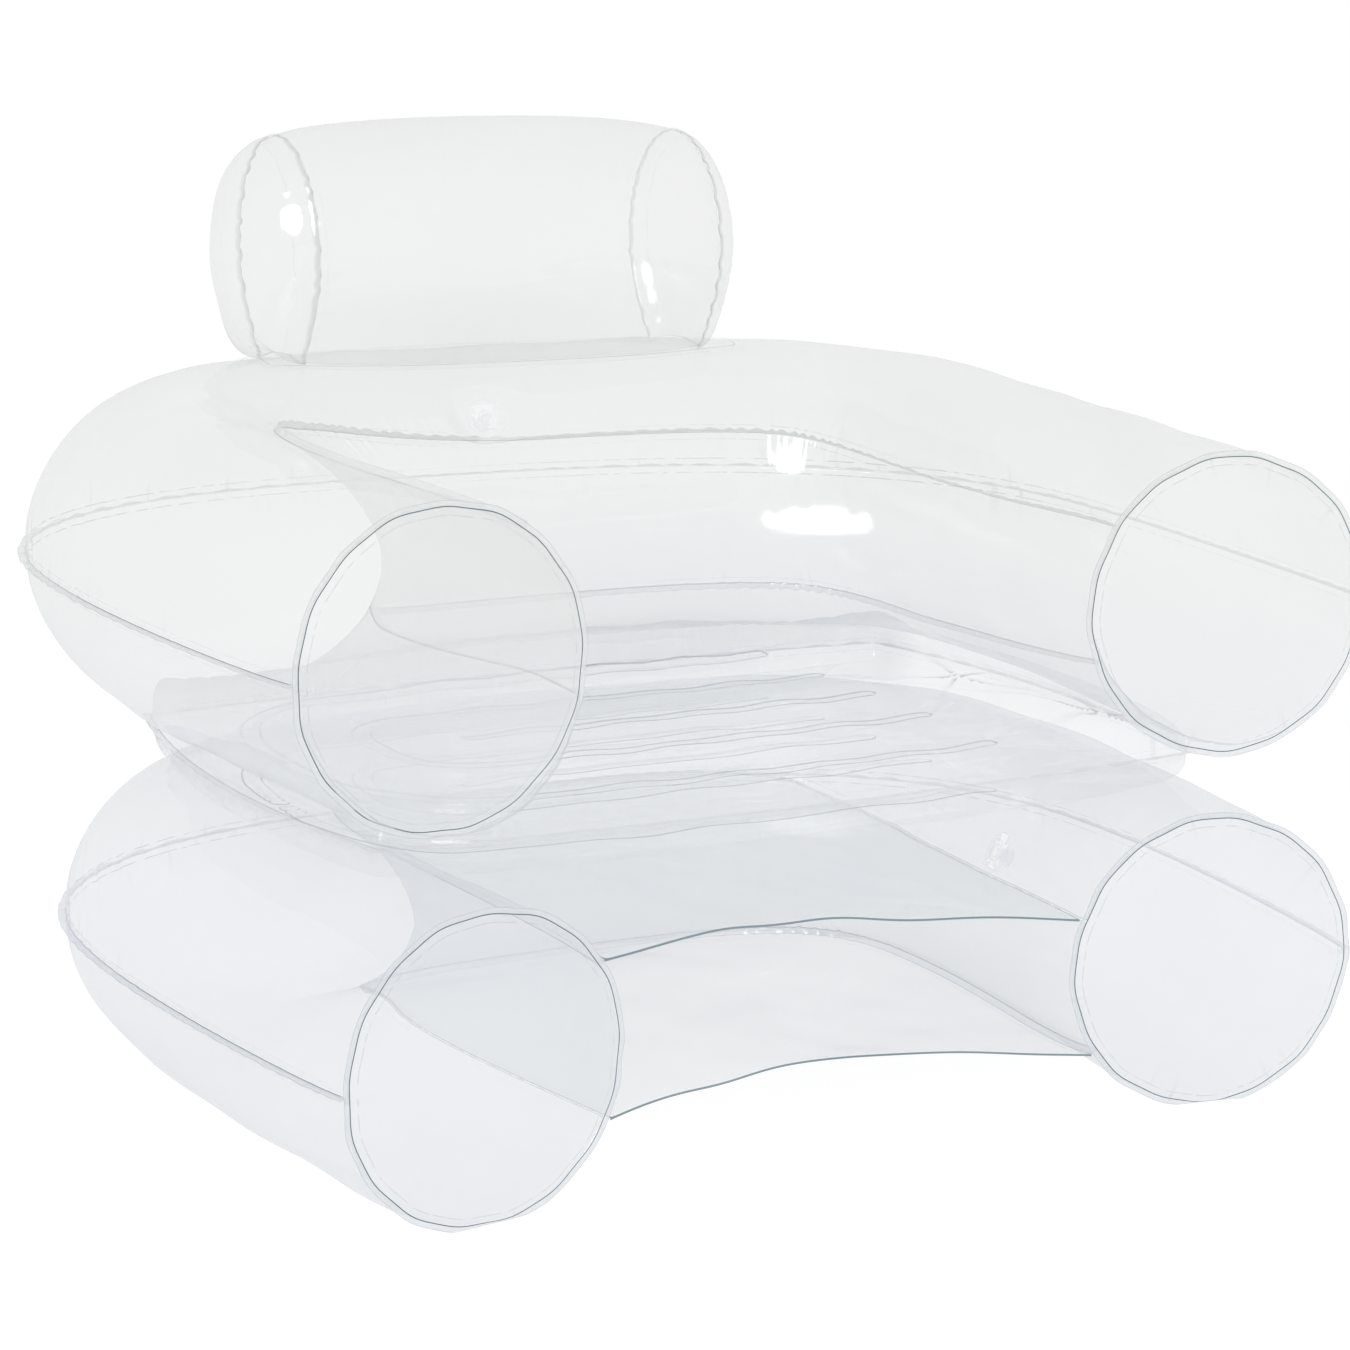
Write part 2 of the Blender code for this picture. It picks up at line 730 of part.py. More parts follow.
def build_gusset(upper, side, name):
    """Oval side panel of the pillow, domed outwards from the wrap's end."""
    edge = pillow_end_outline(upper, side * PILLOW_HALF_SPAN)
    centre = Vector((side * PILLOW_HALF_SPAN, pillow_middle(), pillow_wide_height(upper)))
    bm = bmesh.new()
    skins = []
    for lift in (WELD_GAP + FILM, WELD_GAP):
        middle = bm.verts.new(centre + Vector((side * (lift + PILLOW_SIDE_DOME), 0, 0)))
        rings = []
        for k in range(GUSSET_RINGS):
            share = 1 - k / GUSSET_RINGS
            dome = PILLOW_SIDE_DOME * math.sqrt(1 - share * share)
            shift = Vector((side * (lift + dome), 0, 0))
            rings.append([bm.verts.new(centre + (point - centre) * share + shift) for point in edge])
        skins.append((middle, rings))
    count = len(edge)
    for middle, rings in skins:
        for k in range(count):
            after = (k + 1) % count
            bm.faces.new((middle, rings[-1][k], rings[-1][after]))
            for outside, inside in zip(rings, rings[1:]):
                bm.faces.new((inside[k], outside[k], outside[after], inside[after]))
    for k in range(count):
        after = (k + 1) % count
        rim, back_rim = skins[0][1][0], skins[1][1][0]
        bm.faces.new((rim[k], back_rim[k], back_rim[after], rim[after]))
    add_object(name, shaded_mesh(name, bm))


def build_pillow_base(upper):
    """Sheet under the pillow, lying on the back of the upper tube."""
    outer = []
    for i in range(PILLOW_BASE_COLUMNS + 1):
        x = PILLOW_BASE_HALF_SPAN * (2 * i / PILLOW_BASE_COLUMNS - 1)
        row = []
        for k in range(PILLOW_BASE_STEPS + 1):
            share = 2 * k / PILLOW_BASE_STEPS - 1
            half_depth = PILLOW_BASE_HALF_DEPTH + WELD_WIDTH
            y = pillow_middle() + share * half_depth
            row.append(Vector((x, y, tube_top(upper, x, y) + BASE_SEAT_GAP + FILM)))
        outer.append(row)
    inner = [[point - Vector((0, 0, FILM)) for point in row] for row in outer]
    add_object("backrest_base_sheet", skin_mesh("backrest_base_sheet", outer, inner))


def build_backrest(upper):
    build_pillow_wrap(upper)
    build_gusset(upper, -1, "backrest_left_gusset")
    build_gusset(upper, 1, "backrest_right_gusset")
    build_pillow_base(upper)


def turned(name, profile, sides=VALVE_SIDES):
    """Turned piece round its own Z axis, from a closed outline of (radius, height) points."""
    bm = bmesh.new()
    rings = []
    for radius, height in profile:
        if radius == 0:
            rings.append([bm.verts.new((0, 0, height))])
            continue
        turns = [math.radians(360) * k / sides for k in range(sides)]
        rings.append([bm.verts.new((radius * math.cos(t), radius * math.sin(t), height)) for t in turns])
    for ring, after in zip(rings, rings[1:] + rings[:1]):
        for k in range(sides):
            corners = [ring[k % len(ring)], ring[(k + 1) % len(ring)],
                       after[(k + 1) % len(after)], after[k % len(after)]]
            corners = list(dict.fromkeys(corners))
            if len(corners) > 2:
                bm.faces.new(corners)
    return shaded_mesh(name, bm)


def facet_frame(tube, station_index, facet_index):
    """Place of a valve: the middle of one flat facet of the top sheet, with Z pointing out of it."""
    stations = stations_of(tube)[station_index:station_index + 2]
    corners = []
    for station in stations:
        outer, inner = top_sheet_rows(tube, station)
        corners += [outer[facet_index + 1], outer[facet_index + 2]]
    middle = sum(corners, Vector()) / len(corners)
    normal = (corners[3] - corners[0]).cross(corners[2] - corners[1]).normalized()
    if normal.dot(middle - stations[0].centre) < 0:
        normal = -normal
    along = (corners[2] - corners[0]).normalized()
    along = (along - normal * along.dot(normal)).normalized()
    across = normal.cross(along)
    frame = Matrix((along, across, normal)).transposed().to_4x4()
    return Matrix.Translation(middle) @ frame @ Matrix.Rotation(VALVE_TURN, 4, "Z")


def place_valve_part(name, mesh, frame, origin_height=0):
    part = add_object(name, mesh, VALVE_TINT)
    part.matrix_local = frame @ Matrix.Translation((0, 0, origin_height))
    return part


def cut_valve_hole(sheet, frame, name):
    """Round hole in the film for the valve's neck and its stop."""
    cutter_mesh = turned(name + "_hole", [
        (0, -FILM_CUT_REACH),
        (VALVE_HOLE_RADIUS, -FILM_CUT_REACH),
        (VALVE_HOLE_RADIUS, FILM_CUT_REACH),
        (0, FILM_CUT_REACH),
    ])
    cutter = place_valve_part(name + "_hole_cutter", cutter_mesh, frame)
    cutter.hide_render = True
    cutter.display_type = "WIRE"
    cut = sheet.modifiers.new("valve_hole", "BOOLEAN")
    cut.operation = "DIFFERENCE"
    cut.solver = "EXACT"
    cut.object = cutter


def build_valve(name, tube, sheet, station_index, facet_index):
    """Plate, neck, plug, tether and check flap of one air valve, from the film outwards."""
    frame = facet_frame(tube, station_index, facet_index)
    cut_valve_hole(sheet, frame, name)
    plate_low = WELD_GAP
    plate_top = plate_low + VALVE_PLATE_THICKNESS
    bore = NECK_RADIUS + RUNNING_CLEARANCE
    rim = VALVE_PLATE_RADIUS - VALVE_PLATE_THICKNESS
    place_valve_part(name + "_plate", turned(name + "_plate", [
        (bore, plate_low),
        (VALVE_PLATE_RADIUS, plate_low),
        (rim, plate_top),
        (bore, plate_top),
    ]), frame)
    lip_low = plate_top + WELD_GAP
    lip_top = lip_low + NECK_LIP_THICKNESS
    neck_low = lip_top - NECK_LENGTH
    stop_top = neck_low + NECK_STOP_THICKNESS
    place_valve_part(name + "_neck", turned(name + "_neck", [
        (NECK_BORE_RADIUS, neck_low),
        (NECK_STOP_RADIUS, neck_low),
        (NECK_STOP_RADIUS, stop_top),
        (NECK_RADIUS, stop_top),
        (NECK_RADIUS, lip_low),
        (NECK_LIP_RADIUS, lip_low),
        (NECK_LIP_RADIUS, lip_top),
        (NECK_BORE_RADIUS, lip_top),
    ]), frame)
    cap_low = lip_top + WELD_GAP
    cap_top = cap_low + PLUG_CAP_THICKNESS
    shank = NECK_BORE_RADIUS - RUNNING_CLEARANCE
    shank_low = cap_low - PLUG_SHANK_LENGTH
    tip = shank - PLUG_TIP_TAPER
    place_valve_part(name + "_plug", turned(name + "_plug", [
        (0, shank_low),
        (tip, shank_low),
        (shank, shank_low + PLUG_TIP_TAPER * 2),
        (shank, cap_low),
        (PLUG_CAP_RADIUS, cap_low),
        (PLUG_CAP_RADIUS, cap_low + PLUG_CAP_THICKNESS / 2),
        (PLUG_CAP_RADIUS - PLUG_CAP_THICKNESS / 2, cap_top),
        (0, cap_top),
    ]), frame)
    build_tether(name + "_tether", frame, (cap_low + cap_top) / 2, (lip_low + lip_top) / 2)
    flap_radius = (NECK_BORE_RADIUS + NECK_STOP_RADIUS) / 2
    flap_top = neck_low - WELD_GAP
    flap = turned(name + "_flap", [
        (0, -FLAP_THICKNESS),
        (flap_radius, -FLAP_THICKNESS),
        (flap_radius, 0),
        (0, 0),
    ])
    flap.transform(Matrix.Translation((flap_radius, 0, 0)))
    hinge = frame @ Matrix.Translation((-flap_radius, 0, 0))
    place_valve_part(name + "_flap", flap, hinge, flap_top)


def build_tether(name, frame, top_height, low_height):
    """Short strap looping from the plug's cap back to the side of the neck's lip."""
    bend = (top_height - low_height) / 2
    half = TETHER_THICKNESS / 2
    turn_x = PLUG_CAP_RADIUS + TETHER_LEG
    path = [(PLUG_CAP_RADIUS + WELD_GAP, top_height, 0, 1)]
    for k in range(TETHER_BEND_STEPS + 1):
        turn = math.radians(90 - 180 * k / TETHER_BEND_STEPS)
        out = (math.cos(turn), math.sin(turn))
        path.append((turn_x + bend * out[0], low_height + bend + bend * out[1], *out))
    path.append((NECK_LIP_RADIUS + WELD_GAP, low_height, 0, -1))
    outer = []
    inner = []
    for x, z, out_x, out_z in path:
        for grid, offset in ((outer, half), (inner, -half)):
            grid.append([Vector((x + out_x * offset, side * TETHER_WIDTH / 2, z + out_z * offset)) for side in (-1, 1)])
    place_valve_part(name, skin_mesh(name, outer, inner), frame)


def clear_scene():
    for item in list(bpy.data.objects):
        bpy.data.objects.remove(item, do_unlink=True)


def main():
    global ROOT
    clear_scene()
    ROOT = bpy.data.objects.new("chair_origin", None)
    bpy.context.collection.objects.link(ROOT)
    web_stack = FILM / 2 + WELD_GAP
    upper_height = base_top_height() + SEAT_EDGE_THICKNESS + TUBE_RADIUS
    upper = Tube("upper_tube", (upper_height, UPPER_BACK_RISE), UPPER_BACK_STRETCH_SHARE,
                 (UPPER_WIDE_HALF_SPAN, UPPER_TOE_IN),
                 (UPPER_TOP_WELD_DEGREES, UPPER_BOTTOM_WELD_DEGREES), WELD_GAP / 2, seated_angles)
    lower = Tube("lower_tube", (TUBE_RADIUS - FLOOR_SQUASH, 0), 0,
                 (UPPER_WIDE_HALF_SPAN - LOWER_STEP_IN, LOWER_TOE_IN),
                 (LOWER_TOP_WELD_DEGREES, LOWER_BOTTOM_WELD_DEGREES), web_stack, floor_angles)
    back = ARM_LENGTH + BACK_REACH + TUBE_RADIUS + WELD_WIDTH
    ROOT.location = (0, (front_reach(upper, lower) - back) / 2, 0)
    upper_sheets = build_tube(upper)
    lower_sheets = build_tube(lower)
    build_webs(lower)
    build_seat(upper, lower)
    build_backrest(upper)
    build_valve("upper_valve", upper, upper_sheets["top_sheet"], UPPER_VALVE_STATION, UPPER_VALVE_FACET)
    build_valve("base_valve", lower, lower_sheets["top_sheet"], BASE_VALVE_STATION, BASE_VALVE_FACET)


main()
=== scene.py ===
"""Inflatable armchair of clear film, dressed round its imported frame.

Every film panel is one fine surface that stands for its CAD solid, with its weld flanges,
its puckers at the seams and the seat's channels. The upper tube and the pillow lean a
little, as on the real chair. The valves are the CAD's own rigid nodes in moulded vinyl.
"""

import math

import bpy
import numpy as np
from mathutils import Matrix, Vector


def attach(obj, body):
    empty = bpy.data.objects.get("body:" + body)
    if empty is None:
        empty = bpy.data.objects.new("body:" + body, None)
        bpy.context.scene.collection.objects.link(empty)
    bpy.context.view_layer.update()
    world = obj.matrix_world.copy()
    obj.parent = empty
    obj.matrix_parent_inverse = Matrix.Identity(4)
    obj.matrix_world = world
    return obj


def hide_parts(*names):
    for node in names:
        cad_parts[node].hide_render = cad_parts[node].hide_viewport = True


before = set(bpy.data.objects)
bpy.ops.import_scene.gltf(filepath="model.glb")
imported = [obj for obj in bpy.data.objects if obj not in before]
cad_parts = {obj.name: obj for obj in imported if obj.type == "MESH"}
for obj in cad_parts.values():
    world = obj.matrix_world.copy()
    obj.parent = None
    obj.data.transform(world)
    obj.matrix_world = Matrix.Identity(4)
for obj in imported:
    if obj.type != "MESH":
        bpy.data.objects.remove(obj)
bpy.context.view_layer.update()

# Sizes of the CAD model, in metres
PLAN_SHIFT = -0.41482
FILM = 0.0004
WELD_GAP = 0.0003
WELD_WIDTH = 0.007
TUBE_RADIUS = 0.130
FLOOR_SQUASH = 0.0030
ARM_LENGTH = 0.400
BACK_REACH = 0.315
BACK_Y = ARM_LENGTH + BACK_REACH
SQUARENESS = 3.2
ARM_WIDENING = 1.5
END_DOME = 0.016
END_DRAW_IN = 0.004
END_DRAW_LENGTH = 0.030
SEAT_HALF_WIDTH = 0.417
SEAT_FRONT = 0.085
SEAT_BACK = 0.690
SEAT_MIDDLE = (SEAT_FRONT + SEAT_BACK) / 2
SEAT_HALF_DEPTH = (SEAT_BACK - SEAT_FRONT) / 2
SEAT_RIM_HEIGHT = 0.28525
SEAT_CROWN = 0.03325
SEAT_SAG = 0.03775
SEAT_CORNER = 0.30
SEAT_CLEAR = 0.15
SWELL_POWER = 12
SWELL_ROUNDNESS = 0.20
PILLOW_MIDDLE = BACK_Y - 0.008
PILLOW_WIDE_HEIGHT = 0.69995
PILLOW_CROWN = 0.124
PILLOW_HALF_DEPTH = 0.098
PILLOW_BASE_HALF_DEPTH = 0.045
PILLOW_HALF_SPAN = 0.205
PILLOW_BASE_HALF_SPAN = 0.250
PILLOW_END_DRAW_IN = 0.015
BASE_SEAT_GAP = 0.0015
FOOT_SEAT_GAP = 0.0008
TOP_WEB_BOW = 0.062
FLOOR_WEB_BOW = 0.070
VALVE_HOLE_RADIUS = 0.0100
VALVE_FRAMES = {  # plate centre and outward direction, on the sheet that carries it
    "upper_tube_top_sheet": ((-0.067197, 0.197806, 0.549512), (0.019853, -0.815909, 0.577839)),
    "lower_tube_top_sheet": ((0.254414, -0.201632, 0.183992), (-0.889321, 0.104304, 0.445228)),
}

# The soft film's own shape, beyond the CAD's
END_FLANGE = 0.005
PILLOW_FLANGE = 0.002
PILLOW_DOMES = {-1: 0.058, 1: 0.040}
TUBE_BULGE, TUBE_BULGE_SIZE = 0.0013, 0.17
TUBE_PUCKER, TUBE_PUCKER_SPACING = 0.0032, 0.019
FLANGE_WAVE, FLANGE_WAVE_SPACING = 0.0010, 0.026
CAP_RIPPLE = 0.0009
RIM_WAVE, RIM_WAVE_REACH = 0.0010, 0.015
STACK_REACH = 0.004
STEADY_EDGE = 0.030  # soft bulges fade out over this way to a weld
CAP_BULGE = 0.0008
WEB_BULGE, WEB_BULGE_SIZE = 0.0012, 0.12
SOFT_SIZE = 0.10
TUBE_TOUCH = 0.0009
CHANNEL_DEPTH = 0.021
CHANNEL_REACH = 0.016
TIE_WELD_HALF_WIDTH = 0.0085
TIE_FOOT = 0.0030
TIE_SEAM_MM = (0.5, 1.5, 3.0, 9, 9, 3.0, 1.5, 0.5)  # distance from the weld over the strip
SEAT_BULGE = 0.0014
SEAT_PUCKER, SEAT_PUCKER_SPACING, SEAT_PUCKER_REACH = 0.0016, 0.024, 0.016
SEAT_FLANGE_WAVE = 0.0006
SEAT_COLUMNS, SEAT_ROWS = 231, 361
SEAT_BACK_CLEAR = 0.47  # at the back the film swells up under the tube
SEAT_BACK_SWELL = 0.024
SEAT_BACK_START, SEAT_BACK_REACH = 0.59, 0.06
SEAT_TURN_CENTRE, SEAT_TURN_RADIUS = 0.39, 0.45  # of the run round the seat's rim
KNOT_DEPTH = 0.0050
WRAP_BULGE, WRAP_BULGE_SIZE, WRAP_PUCKER = 0.0016, 0.13, 0.0020
GUSSET_BULGE, GUSSET_PUCKER = 0.0014, 0.0024
PILLOW_PUCKER_SPACING, PILLOW_PUCKER_REACH = 0.022, 0.014
VALVE_FLAT_RADIUS, VALVE_FLAT_FADE = 0.021, 0.030

# Share of the film's haze
SEAT_HAZE = 0.17
SEAT_RIGHT_HAZE = 0.45
SEAT_BACK_HAZE = 1.5
TIE_HAZE = 0.12
WEB_HAZE = 1.15
PILLOW_BASE_HAZE = 0.25

# How far the upper tube, the pillow's base and the pillow lean to the left
LEAN_TUBE = -0.012
LEAN_BASE = -0.020
LEAN_PILLOW = -0.028
LEAN_PILLOW_TWIST = -0.10
LEAN_TILT = -0.014
LEAN_START, LEAN_REACH = 0.03, 0.12  # metres over the seat's rim, and from there to the full lean


class Tube:
    """One U-shaped air tube, as in the CAD's source, with its welds as (way, degrees) knots.

    The way is 0 at the right end cap, 1 where the right arm ends, 2 at the middle of the
    back, 3 where the left arm ends and 4 at the left end cap.
    """

    def __init__(self, name, height, rise, back_stretch, span, toe_in, stack,
                 top_weld, bottom_weld):
        self.name = name
        self.height, self.rise, self.back_stretch = height, rise, back_stretch
        self.span, self.toe_in, self.stack = span, toe_in, stack
        self.top_weld, self.bottom_weld = top_weld, bottom_weld


UPPER = Tube("upper_tube", 0.4435, 0.0175, 0.115, 0.397, 0.037, WELD_GAP / 2,
             ((0, 34), (0.12, 33), (0.5, 29), (0.88, 26.6), (2, 28), (2.7, 48), (3, 62),
              (3.6, 67), (4, 54)),
             ((0, 20), (0.5, 30), (1, 38), (2, 35), (2.8, 20), (3.4, 16), (3.8, 12), (4, 15)))
LOWER = Tube("lower_tube", TUBE_RADIUS - FLOOR_SQUASH, 0.0, 0.0, 0.384, 0.044,
             FILM / 2 + WELD_GAP,
             ((0, 21), (0.2, 19.6), (0.5, 17), (0.88, 16), (1.2, 19), (2, 31), (3, 52),
              (3.5, 45), (3.75, 39), (4, 31.5)),
             ((0, 33), (0.5, 50), (0.88, 56), (2, 60), (3, 30), (4, 28)))
UP = np.array([0, 0, 1.0])


# ---- small tools

def smooth(share):
    share = np.clip(share, 0, 1)
    return share * share * (3 - 2 * share)


def unit(vectors):
    return vectors / np.linalg.norm(vectors, axis=-1, keepdims=True)


def gentle(a, b, seed, size):
    """Soft uneven field of about -1 to 1 over two coordinates, of waves of a given size."""
    rng = np.random.default_rng(seed)
    total = 0
    for _ in range(6):
        turn, phase = rng.uniform(0, 2 * math.pi, 2)
        length = size * rng.uniform(0.7, 1.6)
        way = a * math.cos(turn) + b * math.sin(turn)
        total = total + np.sin(way * 2 * math.pi / length + phase)
    return total / 3


def wave_phase(along, spacing, seed):
    """Phase that grows by about one turn each spacing, with uneven steps, fixed by its seed."""
    steps = np.random.default_rng(seed).uniform(0.5, 1.5, int(along.max() / spacing) + 8)
    knots = np.concatenate([[0], np.cumsum(steps)]) * spacing
    return np.interp(along, knots, np.arange(len(knots))) * 2 * math.pi


def outline_run(points):
    return np.concatenate([[0], np.cumsum(np.linalg.norm(np.diff(points, axis=0), axis=-1))])


def crowded(count, crowding=0.7):
    """Shares from 0 to 1, closer together at both ends."""
    even = np.linspace(0, 1, count)
    return even - crowding * np.sin(2 * math.pi * even) / (2 * math.pi)


def lean(points, shift, twist=0.0):
    """Moves film of the upper tube or the pillow sideways and tilts it, above the seat's rim."""
    share = smooth((points[..., 2] - SEAT_RIM_HEIGHT - LEAN_START) / LEAN_REACH)
    moved = points.copy()
    moved[..., 0] += (shift + twist * (points[..., 1] - PLAN_SHIFT - PILLOW_MIDDLE)) * share
    moved[..., 2] += LEAN_TILT * points[..., 0] * share
    return moved


def film_piece(node, points, seam, run=0.0, pucker=0.0, inks=(1.0, 0.3), ties=1.0, crease=0.0,
               haze=1.0, round_trip=False, keep=None):
    """A film surface from a grid of points, in place of a CAD node.

    It carries per point: the distance from the nearest weld's root (below 0 on the flange),
    the run along that weld, how strongly the film puckers there (which also sets the painted
    shade in the puckers), how dark the root and the cut edge are, the distance from a tie's
    weld line, the painted shade of its creases and its share of haze.
    """
    rows, columns = points.shape[:2]
    index = np.arange(rows * columns).reshape(rows, columns)
    if round_trip:
        index = np.concatenate([index, index[:, :1]], axis=1)
    quads = np.stack([index[:-1, :-1], index[1:, :-1], index[1:, 1:], index[:-1, 1:]], axis=-1)
    quads = quads.reshape(-1, 4)
    if keep is not None:
        quads = quads[keep.ravel()]
    used, packed = np.unique(quads, return_inverse=True)
    mesh = bpy.data.meshes.new(node + "_film")
    mesh.from_pydata(points.reshape(-1, 3)[used].tolist(), [], packed.reshape(-1, 4).tolist())
    values = {"seam_mm": seam * 1000, "run_mm": run * 1000, "pucker": pucker,
              "root_ink": inks[0], "edge_ink": inks[1], "tie_mm": ties * 1000,
              "crease": crease, "haze": haze}
    for attribute, value in values.items():
        layer = mesh.attributes.new(attribute, "FLOAT", "POINT")
        spread = np.broadcast_to(np.asarray(value, dtype=np.float32), (rows, columns))
        layer.data.foreach_set("value", spread.ravel()[used])
    mesh.shade_smooth()
    piece = bpy.data.objects.new(node + "_film", mesh)
    bpy.context.scene.collection.objects.link(piece)
    piece.data.materials.append(FILM_MATERIAL)
    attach(piece, "chair")
    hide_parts(node)
    return piece


# ---- materials

def new_material(name):
    material = bpy.data.materials.new(name)
    material.use_nodes = True
    tree = material.node_tree
    tree.nodes.clear()
    return material, tree


class Nodes:
    """Short hand for making and joining nodes."""

    def __init__(self, tree):
        self.tree = tree

    def add(self, kind, inputs=None, **settings):
        node = self.tree.nodes.new(kind)
        for key, value in settings.items():
            setattr(node, key, value)
        for key, value in (inputs or {}).items():
            self.put(node.inputs[key], value)
        return node

    def put(self, socket, value):
        if isinstance(value, bpy.types.NodeSocket):
            self.tree.links.new(value, socket)
        else:
            socket.default_value = value

    def math(self, operation, *values, clamp=False):
        node = self.tree.nodes.new("ShaderNodeMath")
        node.operation = operation
        node.use_clamp = clamp
        for k, value in enumerate(values):
            self.put(node.inputs[k], value)
        return node.outputs[0]

    def attribute(self, name):
        return self.add("ShaderNodeAttribute", attribute_name=name).outputs["Fac"]

    def times(self, *values):
        product = values[0]
        for value in values[1:]:
            product = self.math("MULTIPLY", product, value)
        return product

    def most(self, *values):
        top = values[0]
        for value in values[1:]:
            top = self.math("MAXIMUM", top, value)
        return top

    def line(self, distance, at, half_width):
        """1 on a line at this distance, falling to 0 beside it."""
        off = self.math("ABSOLUTE", self.math("SUBTRACT", distance, at))
        inside = self.math("SUBTRACT", half_width, off, clamp=True)
        return self.math("MINIMUM", self.times(inside, LINE_STEEPNESS / half_width), 1.0)

    def between(self, value, low, high, to_low=0.0, to_high=1.0):
        inputs = {"Value": value, "From Min": low, "From Max": high, "To Min": to_low,
                  "To Max": to_high}
        return self.add("ShaderNodeMapRange", inputs).outputs["Result"]

    def noise(self, vector, scale, detail):
        inputs = {"Vector": vector, "Scale": scale, "Detail": detail}
        return self.add("ShaderNodeTexNoise", inputs).outputs["Fac"]


LINE_STEEPNESS = 1.8  # how soon a line reaches its full dark within its half width
ROOT_LINE, EDGE_LINE, SECOND_LINE, TIE_LINE = 0.62, 0.9, 0.6, 1.0  # half widths in millimetres
SECOND_LINE_AT = 6.5
TIE_LINE_SHARE = 0.65
LINE_COVER = 0.80
STREAK_GRID = (0.085, 0.012)  # noise cells per millimetre along the weld and away from it
STREAK_FADE = 7.0
# share of dark painted as shade into the puckers' creases by the welds
PUCKER_SHADE_SHARE = 0.4
FLANGE_COVER = 0.08
FILM_COVER, FILM_COVER_SPREAD = 0.33, 0.03
EDGE_ON_COVER = 0.6
SHADOW_CLEAR = 0.92  # share of its cover that a film loses where it casts a shadow
TINT_LOW, TINT_HIGH = 0.25, 0.50  # heights between which the low tint gives way to the high one
FILM_BODY_LOW = (0.672, 0.698, 0.735, 1)
FILM_BODY_HIGH = (0.705, 0.716, 0.712, 1)
# dark teal of the weld lines, also the colour of the painted shade in the puckers and creases
FILM_LINE_AND_SHADE_COLOUR = (0.025, 0.095, 0.125, 1)
FILM_SHEEN, FILM_EDGE_SHEEN = 0.045, 0.3
FILM_ROUGHNESS = 0.09
BUMP_STRENGTH, BUMP_DEPTH = 0.55, 0.004
FILM_PAINTED_GLOW_SHARE = 0.5  # share of the film's body that is a painted glow, standing in for the light that reaches shaded film
FILM_PAINTED_GLOW = 0.97


